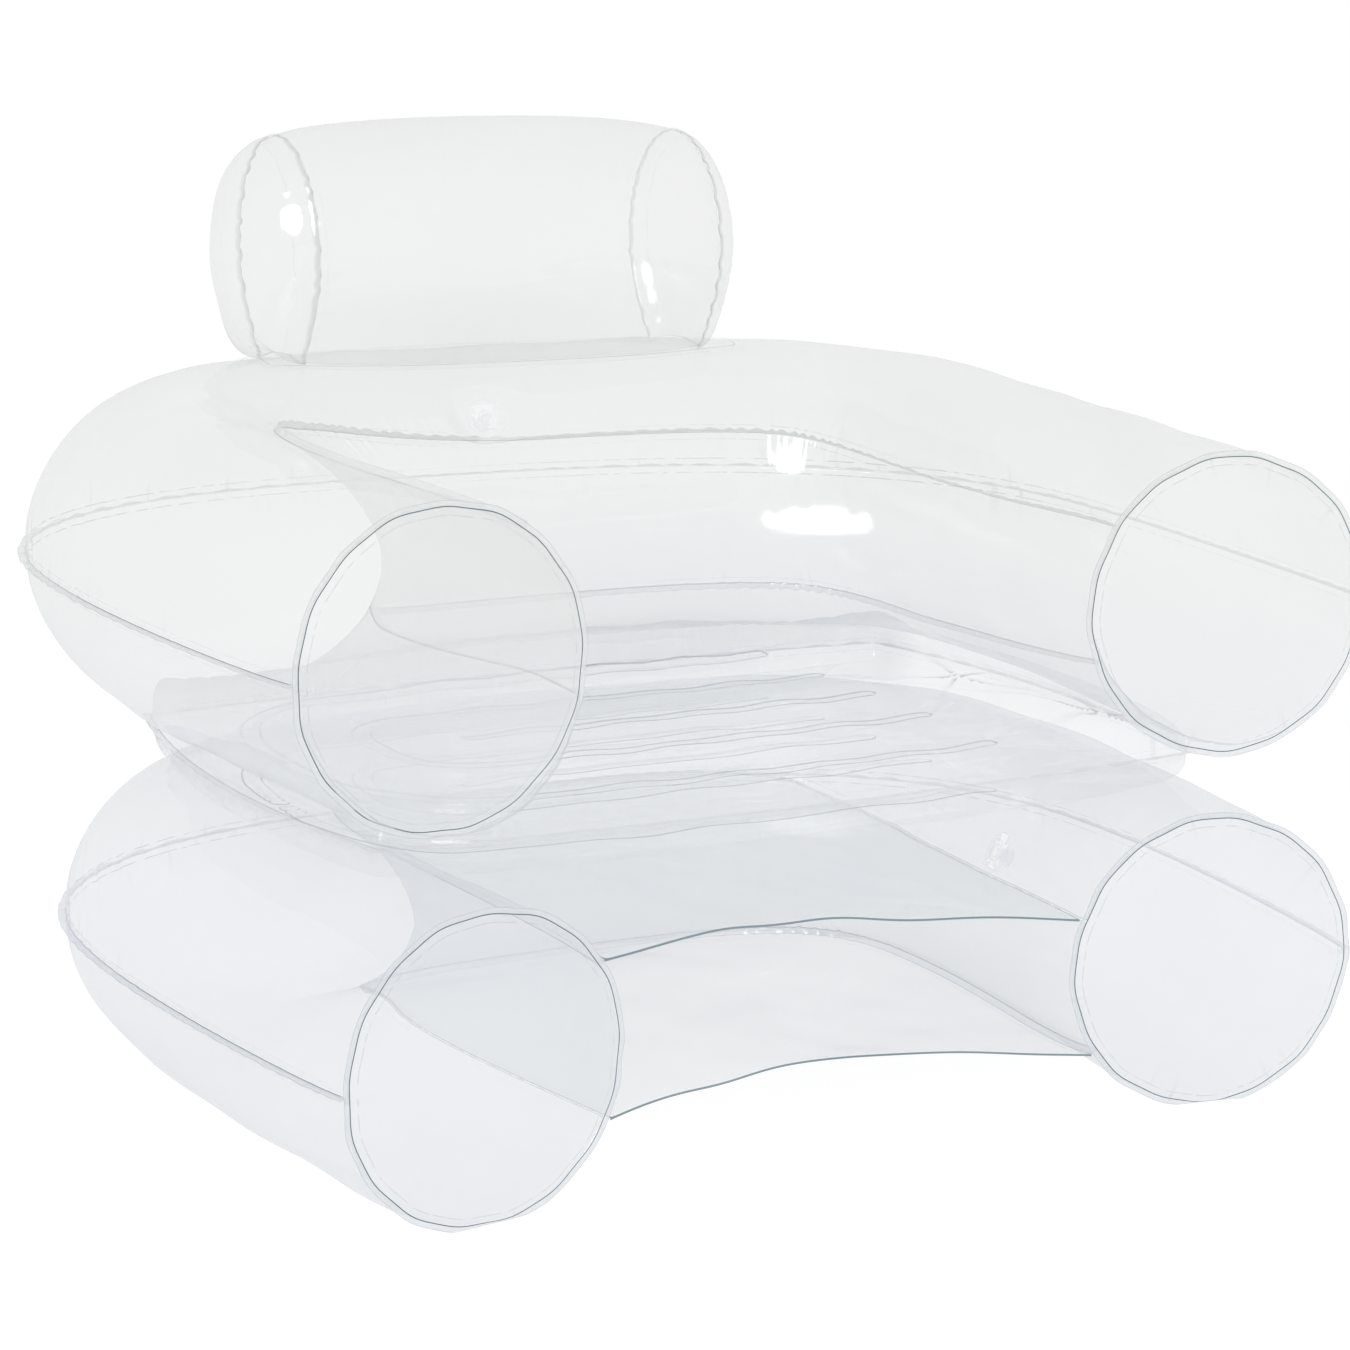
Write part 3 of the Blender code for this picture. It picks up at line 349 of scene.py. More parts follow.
def film_material(name):
    """Clear film: hazy, glossy, with dark lines at the welds, painted shade in the puckers that run
    out from them and a painted glow in its body.
    """
    material, tree = new_material(name)
    n = Nodes(tree)
    seam, run, pucker = n.attribute("seam_mm"), n.attribute("run_mm"), n.attribute("pucker")
    place = n.add("ShaderNodeTexCoord").outputs["Object"]
    away = n.math("MAXIMUM", n.math("DIVIDE", seam, STREAK_FADE), 0.0)
    fade = n.math("POWER", 0.5, away)
    spot = n.add("ShaderNodeCombineXYZ", {"X": n.times(run, STREAK_GRID[0]),
                                          "Y": n.times(seam, STREAK_GRID[1])})
    streak = n.noise(spot.outputs[0], 1.0, 1.5)

    # painted shade: dark strokes where the puckers crease beside the welds
    painted_pucker_shade = n.times(n.between(streak, 0.63, 0.70), fade, pucker)
    root = n.times(n.line(seam, 0.0, ROOT_LINE), n.attribute("root_ink"))
    edge = n.times(n.line(seam, -WELD_WIDTH * 1000, EDGE_LINE), n.attribute("edge_ink"))
    dashes = n.between(streak, 0.42, 0.50)
    second = n.times(n.line(seam, SECOND_LINE_AT, SECOND_LINE), dashes, n.times(pucker, 0.5))
    tie = n.times(n.line(n.attribute("tie_mm"), 0.0, TIE_LINE), TIE_LINE_SHARE)
    # the welds' and ties' dark lines, together with the painted shade of the puckers and the knots'
    # creases
    lines = n.most(root, edge, second, tie, n.times(painted_pucker_shade, PUCKER_SHADE_SHARE), n.attribute("crease"))

    band = n.times(n.math("LESS_THAN", seam, 0.0), FLANGE_COVER)
    haze = n.between(n.noise(place, 5.0, 1.0), 0.3, 0.7,
                     FILM_COVER - FILM_COVER_SPREAD, FILM_COVER + FILM_COVER_SPREAD)
    edge_on = n.add("ShaderNodeLayerWeight", {"Blend": 0.5}).outputs["Facing"]
    deep = n.math("ADD", 1.0, n.times(n.math("POWER", edge_on, 6.0), EDGE_ON_COVER))
    cover = n.times(n.math("ADD", haze, band), n.attribute("haze"), deep)
    cover = n.math("ADD", cover, n.times(lines, LINE_COVER), clamp=True)
    shadow = n.add("ShaderNodeLightPath").outputs["Is Shadow Ray"]
    lit = n.math("SUBTRACT", 1.0, n.times(shadow, SHADOW_CLEAR))
    cover = n.times(cover, lit)

    height = n.add("ShaderNodeSeparateXYZ", {0: place}).outputs["Z"]
    tint = n.add("ShaderNodeMix", {0: n.between(height, TINT_LOW, TINT_HIGH), 6: FILM_BODY_LOW,
                                   7: FILM_BODY_HIGH}, data_type="RGBA").outputs[2]
    colour = n.add("ShaderNodeMix", {0: lines, 6: tint, 7: FILM_LINE_AND_SHADE_COLOUR}, data_type="RGBA").outputs[2]
    soft = n.noise(place, 9.0, 1.0)
    relief = n.math("ADD", n.times(soft, 0.9), n.times(streak, fade, pucker))
    bump = n.add("ShaderNodeBump", {"Height": relief, "Strength": BUMP_STRENGTH,
                                    "Distance": BUMP_DEPTH}).outputs["Normal"]

    lit_body = n.add("ShaderNodeBsdfDiffuse", {"Color": colour, "Normal": bump})
    # painted glow: half the body is an emission in the film's own colour, standing in for the light
    # that reaches shaded film
    painted_glow = n.add("ShaderNodeEmission", {"Color": colour, "Strength": FILM_PAINTED_GLOW})
    body = n.add("ShaderNodeMixShader", {0: FILM_PAINTED_GLOW_SHARE, 1: lit_body.outputs[0],
                                         2: painted_glow.outputs[0]})
    clear = n.add("ShaderNodeBsdfTransparent", {"Color": (1, 1, 1, 1)})
    film = n.add("ShaderNodeMixShader", {0: cover, 1: clear.outputs[0], 2: body.outputs[0]})
    facing = n.add("ShaderNodeLayerWeight", {"Blend": 0.5, "Normal": bump}).outputs["Facing"]
    grazing = n.times(n.math("POWER", facing, 5.0), FILM_EDGE_SHEEN)
    sheen = n.math("ADD", grazing, FILM_SHEEN)
    gloss = n.add("ShaderNodeBsdfGlossy", {"Color": (1, 1, 1, 1), "Roughness": FILM_ROUGHNESS,
                                           "Normal": bump})
    top = n.add("ShaderNodeMixShader", {0: n.times(sheen, lit), 1: film.outputs[0],
                                        2: gloss.outputs[0]})
    n.add("ShaderNodeOutputMaterial", {"Surface": top.outputs[0]})
    return material


VINYL_DULL = (0.78, 0.80, 0.82, 1)
VINYL_PALE = (0.88, 0.90, 0.92, 1)
VINYL_COVER = (0.07, 0.11)


def valve_material(name):
    """Moulded soft vinyl: milky clear, smooth, with faint flow marks."""
    material, tree = new_material(name)
    n = Nodes(tree)
    place = n.add("ShaderNodeTexCoord").outputs["Object"]
    flow = n.noise(place, 160.0, 3.0)
    cover = n.between(flow, 0.3, 0.7, *VINYL_COVER)
    colour = n.add("ShaderNodeMix", {0: flow, 6: VINYL_DULL, 7: VINYL_PALE},
                   data_type="RGBA").outputs[2]
    bump = n.add("ShaderNodeBump", {"Height": flow, "Strength": 0.1,
                                    "Distance": 0.0006}).outputs["Normal"]
    body = n.add("ShaderNodeBsdfPrincipled", {"Base Color": colour, "Roughness": 0.18,
                                              "Normal": bump, "Alpha": cover})
    n.add("ShaderNodeOutputMaterial", {"Surface": body.outputs[0]})
    return material


# ---- tubes

def half_centre_line(tube, arm_step, bend_step):
    """Plan points, outward directions and ways from the right end cap to the back's middle."""
    arm_y = np.linspace(0, ARM_LENGTH, int(ARM_LENGTH / arm_step) + 1)[:-1]
    left_over = 1 - arm_y / ARM_LENGTH
    arm_x = tube.span - tube.toe_in * left_over ** ARM_WIDENING
    slope = tube.toe_in / ARM_LENGTH * ARM_WIDENING * left_over ** (ARM_WIDENING - 1)
    arm_out = unit(np.stack([np.ones_like(slope), -slope], axis=-1))
    turn = np.linspace(0, math.pi / 2, 6001)
    power = 2 / SQUARENESS
    x = tube.span * np.cos(turn).clip(0) ** power
    y = BACK_REACH * np.sin(turn) ** power
    run = np.concatenate([[0], np.cumsum(np.hypot(np.diff(x), np.diff(y)))])
    even = np.linspace(0, run[-1], int(run[-1] / bend_step) + 1)
    x, y, turn = (np.interp(even, run, values) for values in (x, y, turn))
    out = unit(np.stack([(x / tube.span) ** (SQUARENESS - 1) / tube.span,
                         (y / BACK_REACH) ** (SQUARENESS - 1) / BACK_REACH], axis=-1))
    place = np.concatenate([np.stack([arm_x, arm_y], axis=-1),
                            np.stack([x, y + ARM_LENGTH], axis=-1)])
    way = np.concatenate([arm_y / ARM_LENGTH, 1 + turn / (math.pi / 2)])
    return place, np.concatenate([arm_out, out]), way


def weld_turns(knots, way):
    """Weld angles in radians along the way, gently rounded between their knots."""
    degrees = np.interp(way, *zip(*knots))
    window = np.hanning(17)[1:-1]
    padded = np.pad(degrees, 7, mode="edge")
    return np.radians(np.convolve(padded, window / window.sum(), mode="valid"))


TIGHT_TURN = 5.0  # radians per metre at which a bend counts as tight


class Line:
    """A tube's centre line from the right end cap round the back to the left one."""

    def __init__(self, tube, arm_step=0.006, bend_step=0.0035):
        place, outward, way = half_centre_line(tube, arm_step, bend_step)
        flip = np.array([-1, 1])
        self.tube = tube
        self.place = np.concatenate([place, place[-2::-1] * flip])
        self.outward = np.concatenate([outward, outward[-2::-1] * flip])
        self.way = np.concatenate([way, 4 - way[-2::-1]])
        self.run = outline_run(self.place)
        reach = (self.place[:, 1] / BACK_Y) ** 2
        self.height = tube.height + tube.rise * reach
        self.stretch = 1 + tube.back_stretch * reach
        self.from_end = np.minimum(self.run, self.run[-1] - self.run)
        self.radius = TUBE_RADIUS - END_DRAW_IN * np.exp(-self.from_end / END_DRAW_LENGTH)
        heading = np.unwrap(np.arctan2(self.outward[:, 1], self.outward[:, 0]))
        self.tight = np.clip(np.abs(np.gradient(heading, self.run)) / TIGHT_TURN, 0, 1) ** 0.7
        self.top_end = math.pi - weld_turns(tube.top_weld, self.way)
        self.band_end = math.pi + weld_turns(tube.bottom_weld, self.way)

    def leaned(self, points):
        return lean(points, LEAN_TUBE) if self.tube is UPPER else points


CORNER = (-0.239, 0.552)  # plan place of the inner wall's left corner, which the film cuts
CORNER_CUT = (0.040, -0.060)
CORNER_REACH = 0.15


def corner_cut(points, angle):
    """Draws the inner wall of the left corner inwards, as the real film spans it."""
    gap = np.hypot(points[..., 0] - CORNER[0], points[..., 1] - PLAN_SHIFT - CORNER[1])
    weight = np.clip(-np.cos(angle), 0, 1) ** 1.5 * np.exp(-(gap / CORNER_REACH) ** 2)
    return points + np.array([*CORNER_CUT, 0.0]) * weight[..., None]


def section_points(line, along, across, angle, floor):
    """Points of the tube's sections, all arguments as rows by columns."""
    side = np.cos(angle) * along - np.sin(angle) * across
    rise = (np.sin(angle) * along + np.cos(angle) * across) * line.stretch[:, None]
    points = np.empty(side.shape + (3,))
    points[..., :2] = line.place[:, None] + line.outward[:, None] * side[..., None]
    points[..., 1] += PLAN_SHIFT
    points[..., 2] = np.maximum(line.height[:, None] + rise, floor)
    return corner_cut(points, angle)


def pucker_depth(line, distance, seed, size, calm):
    """Depth (0 to 1) of the puckers that run out from a seam, deep where the tube bends."""
    phase = wave_phase(line.run, TUBE_PUCKER_SPACING, seed)[:, None]
    strength = (calm + (1 - calm) * line.tight)[:, None]
    uneven = 0.6 + 0.4 * np.sin(phase * 0.37 + seed)
    return strength * uneven * np.clip(np.cos(phase), 0, 1) ** 2 * np.exp(-distance / size)


SEAMS = {  # puckers' depth where the tube runs straight, their reach, the inks, their strength
    "outer": (0.06, 0.026, (0.90, 0.30), 1.0),
    "inner": (0.05, 0.012, (0.50, 0.10), 0.45),
}
SEAM_SEEDS = {"outer": 40, "inner": 60}
OUTER_INK_LOSS = 0.55  # the outer seam is this much paler everywhere but on the left arm
END_INK_REACH = 0.008
END_INKS = (0.3, 0.2)
CAP_SEEDS = {0: 1, -1: 4}


def seam_values(line, start_seam, end_seam, shape, middle):
    """Strength of the streaks and dark of both lines, per point, from the seam that is nearer."""
    def by_half(first, last):
        return np.concatenate([np.full(middle, first), np.full(shape[1] - middle, last)])[None]

    share = by_half(SEAMS[start_seam][3], SEAMS[end_seam][3])
    pucker = (0.16 + 0.84 * line.tight[:, None]) * share
    pucker = pucker * smooth((line.from_end[:, None] - 0.01) / 0.03)
    inks = []
    for k in (0, 1):
        ink = by_half(SEAMS[start_seam][2][k], SEAMS[end_seam][2][k])
        faint = OUTER_INK_LOSS * smooth((3.2 - line.way[:, None]) / 0.4)
        ink = ink * (1 - faint * (ink == SEAMS["outer"][2][k]))
        inks.append(np.where(line.from_end[:, None] < END_INK_REACH, END_INKS[k], ink))
    return pucker, inks


def tube_sheet(line, start, end, start_seam, end_seam, stacks, seed, count):
    """One sheet of a tube between two seams, with flanges at its seams and at the end caps."""
    start = np.broadcast_to(start, line.run.shape)[:, None]
    end = np.broadcast_to(end, line.run.shape)[:, None]
    angle = start + (end - start) * crowded(count)[None]
    radius = line.radius[:, None] - FILM / 2
    from_start = (angle - start) * radius
    from_end = (end - angle) * radius
    dents = 0
    for seam, distance in ((start_seam, from_start), (end_seam, from_end)):
        calm, reach, _, share = SEAMS[seam]
        dents = dents + share * pucker_depth(line, distance, SEAM_SEEDS[seam] + seed, reach, calm)
    to_cap = line.from_end[:, None]
    still = smooth(np.minimum(from_start, from_end) / STEADY_EDGE) * smooth(to_cap / STEADY_EDGE)
    bulge = gentle(line.run[:, None], angle * TUBE_RADIUS, seed + 5, TUBE_BULGE_SIZE) * TUBE_BULGE
    along = radius - TUBE_PUCKER * dents * smooth(to_cap / 0.02) + bulge * still
    rim = np.where(line.way[:, None] < 2, rim_wave(angle, CAP_SEEDS[0]),
                   rim_wave(angle, CAP_SEEDS[-1]))
    along = along + rim * np.exp(-to_cap / RIM_WAVE_REACH)
    across = ((stacks[0] + FILM / 2) * np.exp(-from_start / STACK_REACH)
              - (stacks[1] + FILM / 2) * np.exp(-from_end / STACK_REACH))

    tips = np.array([[1.0, 0.5]])
    flange = radius + WELD_WIDTH * tips
    wave = np.sin(wave_phase(line.run, FLANGE_WAVE_SPACING, seed + 3))[:, None]
    lift = wave * (0.3 + line.tight[:, None]) * tips * FLANGE_WAVE
    ones = np.ones_like(tips)
    angle = np.concatenate([start * ones, angle, end * ones], axis=1)
    along = np.concatenate([flange, along, flange[:, ::-1]], axis=1)
    across = np.concatenate([stacks[0] + FILM / 2 + lift, across,
                             -stacks[1] - FILM / 2 + lift[:, ::-1]], axis=1)
    points = line.leaned(section_points(line, along, across, angle, FILM / 2))

    edge = -WELD_WIDTH * tips * np.ones_like(start)
    seam = np.concatenate([edge, np.minimum(from_start, from_end), edge[:, ::-1]], axis=1)
    seam = np.minimum(seam, to_cap)
    pucker, inks = seam_values(line, start_seam, end_seam, seam.shape, count // 2 + 2)
    run = line.run[:, None] + seed * 0.37 + np.zeros_like(seam)
    return with_end_flanges(line, points, angle, [seam, run, pucker, *inks])


def cap_ripple(angle, seed):
    """Waves of an end cap's flange round its rim, in metres towards the front."""
    turn = np.mod(angle, 2 * math.pi)
    quick = np.sin(23 * turn + seed + 1.3 * np.sin(3 * turn + seed))
    return CAP_RIPPLE * quick * (0.6 + 0.4 * np.sin(5 * turn + seed))


def rim_wave(angle, seed):
    """How much further out an end cap's weld runs than a true circle, in metres."""
    turn = np.mod(angle, 2 * math.pi)
    slow = np.sin(6 * turn + seed) * np.sin(2 * turn + 2 * seed)
    return RIM_WAVE * slow + RIM_WAVE / 2 * np.sin(17 * turn + 3 * seed)


def end_frame(line, end):
    """Centre of an end cap and the direction in front of it."""
    centre = np.array([line.place[end][0], line.place[end][1] + PLAN_SHIFT, line.height[end]])
    forward = np.array([-line.outward[end][1], line.outward[end][0], 0.0])
    return line.leaned(centre), (-forward if forward[1] > 0 else forward)


def with_end_flanges(line, points, angle, values):
    """Adds the rows of the flanges that turn outwards behind both end caps."""
    for end, seed in CAP_SEEDS.items():
        centre, forward = end_frame(line, end)
        offset = points[end] - centre
        radial = unit(offset - forward * (offset @ forward)[:, None])
        size = np.linalg.norm(offset, axis=-1)
        fresh = []
        for share in (0.5, 1.0):
            rim = line.radius[end] + rim_wave(angle[end], seed)
            tip = np.maximum(size, rim + END_FLANGE * share)
            lift = cap_ripple(angle[end], seed) * share
            row = centre + radial * tip[:, None] + forward * lift[:, None]
            row[:, 2] = np.maximum(row[:, 2], FILM / 2)
            fresh.append(row)
        added = [[np.full(len(offset), -WELD_WIDTH * share) for share in (0.5, 1.0)]]
        added += [[value[end]] * 2 for value in values[1:]]
        if end == 0:
            points = np.concatenate([fresh[::-1], points])
            values = [np.concatenate([extra[::-1], value]) for extra, value in zip(added, values)]
        else:
            points = np.concatenate([points, fresh])
            values = [np.concatenate([value, extra]) for extra, value in zip(added, values)]
    return points, values


def seat_on_valve(points, node):
    """Flattens the film round a valve to its plate and tells which faces its hole leaves."""
    centre, normal = (np.array(v) for v in VALVE_FRAMES[node])
    offset = points - centre
    height = offset @ normal
    beside = np.linalg.norm(offset - height[..., None] * normal, axis=-1)
    near = np.abs(height) < 0.02
    weight = np.where(near, 1 - smooth((beside - VALVE_FLAT_RADIUS) / VALVE_FLAT_FADE), 0)
    points = points - normal * (height * weight)[..., None]
    offset = points - centre
    height = offset @ normal
    flat = offset - height[..., None] * normal
    beside = np.linalg.norm(flat, axis=-1)
    inside = near & (beside < VALVE_HOLE_RADIUS * 1.12)
    corners = np.stack([inside[:-1, :-1], inside[1:, :-1], inside[1:, 1:], inside[:-1, 1:]])
    keep = ~corners.any(axis=0)
    ring = near & (beside < VALVE_HOLE_RADIUS * 1.45)
    snapped = centre + flat / np.maximum(beside, 1e-6)[..., None] * VALVE_HOLE_RADIUS * 1.05
    touching = np.zeros_like(inside)
    for part in (np.s_[:-1, :-1], np.s_[1:, :-1], np.s_[1:, 1:], np.s_[:-1, 1:]):
        touching[part] |= ~keep
    points = np.where((ring & touching & ~inside)[..., None], snapped, points)
    return points, keep


def build_tube(tube, seed):
    line = Line(tube)
    gap = WELD_GAP / 2
    parts = {
        "top_sheet": (0.0, line.top_end, "outer", "inner", (gap, tube.stack), 38),
        "inner_band": (line.top_end, line.band_end, "inner", "inner", (tube.stack, tube.stack), 18),
        "bottom_sheet": (line.band_end, 2 * math.pi, "inner", "outer", (tube.stack, gap), 38),
    }
    for k, (part, (start, end, first, last, stacks, count)) in enumerate(parts.items()):
        node = tube.name + "_" + part
        points, values = tube_sheet(line, start, end, first, last, stacks, seed, count)
        seam, run, pucker, root_ink, edge_ink = values
        keep = None
        if node in VALVE_FRAMES:
            points, keep = seat_on_valve(points, node)
        film_piece(node, points, seam, run + k, pucker, (root_ink, edge_ink), keep=keep)
    for end, side in ((0, "right"), (-1, "left")):
        build_cap(line, end, f"{tube.name}_{side}_end_cap", CAP_SEEDS[end])


def build_cap(line, end, node, seed, sides=220):
    """Round end panel: a shallow dome, with its weld's flange waving round the rim."""
    centre, forward = end_frame(line, end)
    outward = np.array([*line.outward[end], 0.0])
    root = line.radius[end]
    shares = np.concatenate([[0.001], np.linspace(0.06, 0.9, 14), [0.94, 0.97, 0.99, 1.0]])
    radii = np.concatenate([root * shares, root + END_FLANGE * np.array([0.5, 1.0])])
    turn = np.linspace(0, 2 * math.pi, sides, endpoint=False)
    radius, angle = np.meshgrid(radii, turn, indexing="ij")
    inside = np.clip(root - radius, 0, None)
    flange = np.clip((radius - root) / END_FLANGE, 0, 1)
    dome = END_DOME * np.clip(1 - (radius / root) ** 2, 0, None)
    lift = WELD_GAP + FILM / 2 + dome + cap_ripple(angle, seed) * flange
    seam = inside - flange * WELD_WIDTH
    radius = radius * (1 + rim_wave(angle, seed) / root)
    side, rise = radius * np.cos(angle), radius * np.sin(angle)
    lift += gentle(side, rise, seed, SOFT_SIZE) * CAP_BULGE * smooth(inside / STEADY_EDGE)
    points = centre + outward * side[..., None] + UP * rise[..., None] + forward * lift[..., None]
    floor = np.maximum((root + END_FLANGE - radius) / 4, FILM / 2)
    points[..., 2] = np.maximum(points[..., 2], floor)
    film_piece(node, points, seam, angle * root + seed, 0.5, (1.0, 0.30), round_trip=True)


# ---- webs of the base

WEB_STEPS = (0.008, 0.012)
WEB_COLUMNS = 141
WEB_SLACK, WEB_SLACK_REACH = (0.0020, 0.0012), 0.25
WEB_LIP = (0.0016, 0.0008)


def build_web(node, welds, bow, seed):
    """Film between the arms of the base, its free front edge bowed back and turned down."""
    line = Line(LOWER, *WEB_STEPS)
    half = len(line.run) // 2
    angle = getattr(line, welds)[:, None]
    reach = (line.radius + WELD_WIDTH * 0.9)[:, None]
    tips = section_points(line, reach, np.zeros_like(reach), angle, FILM / 2)[:, 0]
    right, left = tips[:half], tips[::-1][:half]
    share = np.linspace(0, 1, WEB_COLUMNS)[None, :, None]
    points = right[:, None] * (1 - share) + left[:, None] * share
    share = share[..., 0]
    left_over = 1 - line.place[:half, 1:2] / BACK_Y
    middle = 4 * share * (1 - share)
    points[..., 1] += bow * left_over ** 2 * middle
    front = line.run[:half, None]
    slack = middle * np.exp(-front / WEB_SLACK_REACH)
    waves = WEB_SLACK[0] * np.sin(7 * share + seed) + WEB_SLACK[1] * np.sin(19 * share + 2 * seed)
    points[..., 2] += slack * waves
    soft = gentle(points[..., 0], points[..., 1], seed + 11, WEB_BULGE_SIZE)
    points[..., 2] += soft * WEB_BULGE * middle
    points[..., 2] = np.maximum(points[..., 2], FILM)
    width = np.linalg.norm(right - left, axis=-1)[:, None]
    side = np.minimum(share, 1 - share) * width
    seam = np.minimum(side, front)

    lip = [points[:1] - np.array([0, down / 3, down]) for down in WEB_LIP]
    points = np.concatenate([*lip, points])
    points[..., 2] = np.maximum(points[..., 2], FILM / 2)
    seam = np.concatenate([seam[:1], seam[:1], seam])
    run = np.concatenate([front[:1], front[:1], front])
    pucker = 0.45 * np.exp(-run / 0.5) * smooth(run / 0.02)
    film_piece(node, points, seam, run + seed, pucker, (0.75, 0.0), haze=WEB_HAZE)


# ---- seat cushion

DISTANCE_STEPS = (0.020, 0.012)


def tube_distance(tube, x, y):
    """Plan distance from each point to a tube's centre line, with the height and stretch there."""
    line = Line(tube, *DISTANCE_STEPS)
    gaps = np.hypot(x[..., None] - line.place[:, 0], y[..., None] - line.place[:, 1])
    nearest = gaps.argmin(axis=-1)
    return gaps.min(axis=-1), line.height[nearest], line.stretch[nearest]


def seat_plan(across, deep):
    x = SEAT_HALF_WIDTH * across * np.sqrt(1 - SEAT_CORNER * deep ** 2 / 2)
    y = SEAT_MIDDLE + SEAT_HALF_DEPTH * deep * np.sqrt(1 - SEAT_CORNER * across ** 2 / 2)
    return x, y


def rounded_turn(front, back, left, right, roundness, count=90):
    """Weld line from the right along the front, round a soft turn on the left, and back."""
    middle, half = (front + back) / 2, (back - front) / 2
    turn = np.linspace(0, math.pi, count)
    bend_x = left + roundness
    arc_x = bend_x - roundness * np.sin(turn) ** 0.8
    arc_y = middle - half * np.sign(np.cos(turn)) * np.abs(np.cos(turn)) ** 0.7
    run = np.linspace(right, bend_x, count)[:-1]
    x = np.concatenate([run, arc_x, run[::-1]])
    y = np.concatenate([np.full_like(run, front), arc_y, np.full_like(run, back)])
    return np.stack([x, y], axis=-1)


TIES_RIGHT = 0.222
TIE_TURNS = {  # front, back, left end, right end and roundness of the seat's bent weld lines
    "outer": (0.160, 0.600, -0.362, TIES_RIGHT, 0.110),
    "inner": (0.288, 0.494, -0.270, TIES_RIGHT, 0.070),
}
CENTRE_TIE_LEFT, CENTRE_TIE_DEPTH, CENTRE_TIE_POINTS = -0.180, 0.396, 120


def tie_lines():
    """Plan points of the seat's weld lines."""
    paths = {name: rounded_turn(*turn) for name, turn in TIE_TURNS.items()}
    run = np.linspace(TIES_RIGHT, CENTRE_TIE_LEFT, CENTRE_TIE_POINTS)
    paths["centre"] = np.stack([run, np.full(CENTRE_TIE_POINTS, CENTRE_TIE_DEPTH)], axis=-1)
    placed = {}
    for name, path in paths.items():
        across, deep = path[:, 0] / SEAT_HALF_WIDTH, (path[:, 1] - SEAT_MIDDLE) / SEAT_HALF_DEPTH
        placed[name] = np.stack(seat_plan(across, deep), axis=-1)
    return placed


KNOT_STRETCH = 2.2
# x, depth and reach of the wrinkled knots on the right
KNOTS = ((0.292, 0.350, 0.030), (0.335, 0.175, 0.034))


def tie_gap(x, y):
    """Distance from each point to the nearest of the seat's weld lines."""
    nearest = np.full(x.shape, 1.0)
    for path in tie_lines().values():
        for start in range(0, len(path), 30):
            part = path[start:start + 30]
            gaps = np.hypot(x[..., None] - part[:, 0], y[..., None] - part[:, 1]).min(axis=-1)
            nearest = np.minimum(nearest, gaps)
    return nearest


def knot_folds(x, y):
    """Folds that run out like a star from the knots where the seat is gathered."""
    folds = np.zeros_like(x)
    for k, (knot_x, knot_y, reach) in enumerate(KNOTS):
        deep = (y - knot_y) / KNOT_STRETCH
        distance = np.hypot(x - knot_x, deep)
        turn = np.arctan2(deep, x - knot_x)
        star = np.clip(np.cos(5 * turn + 1.1 * np.sin(2 * turn + k) + k), 0, 1) ** 6
        folds = np.maximum(folds, star * np.exp(-distance / reach) * smooth(distance / 0.010 + 0.3))
    return folds


def seat_height(x, y, across, deep, side):
    """Rise of a seat sheet over the rim (side 1 top, -1 bottom), and the weld lines' distance."""
    swell = (1 - np.abs(across) ** SWELL_POWER) * (1 - np.abs(deep) ** SWELL_POWER)
    swell = np.clip(swell, 0, 1) ** SWELL_ROUNDNESS
    crown, groove = (SEAT_CROWN, CHANNEL_DEPTH) if side > 0 else (SEAT_SAG, CHANNEL_DEPTH / 2)
    nearest = tie_gap(x, y)
    channel = np.exp(-np.clip(nearest - TIE_WELD_HALF_WIDTH, 0, None) / CHANNEL_REACH)
    back = smooth((y - SEAT_BACK_START) / SEAT_BACK_REACH) * (side > 0)
    rise = (crown + SEAT_BACK_SWELL * back) * swell - groove * swell * channel
    gap, height, stretch = tube_distance(UPPER if side > 0 else LOWER, x, y)
    clear = SEAT_CLEAR + (SEAT_BACK_CLEAR - SEAT_CLEAR) * back
    clearing = clear * gap ** 2 / TUBE_RADIUS
    if side > 0:
        limit = height - TUBE_RADIUS * stretch - TUBE_TOUCH + clearing - SEAT_RIM_HEIGHT
    else:
        limit = SEAT_RIM_HEIGHT - (height + TUBE_RADIUS + TUBE_TOUCH - clearing)
    limit = np.where(gap > TUBE_RADIUS, 1.0, limit)
    return np.minimum(rise + WELD_GAP / 2 + FILM / 2, limit), nearest


def seat_haze(x, y):
    haze = SEAT_HAZE + (SEAT_RIGHT_HAZE - SEAT_HAZE) * smooth((x - 0.22) / 0.12)
    return haze + (SEAT_BACK_HAZE - haze) * smooth((y - SEAT_BACK_START) / SEAT_BACK_REACH)


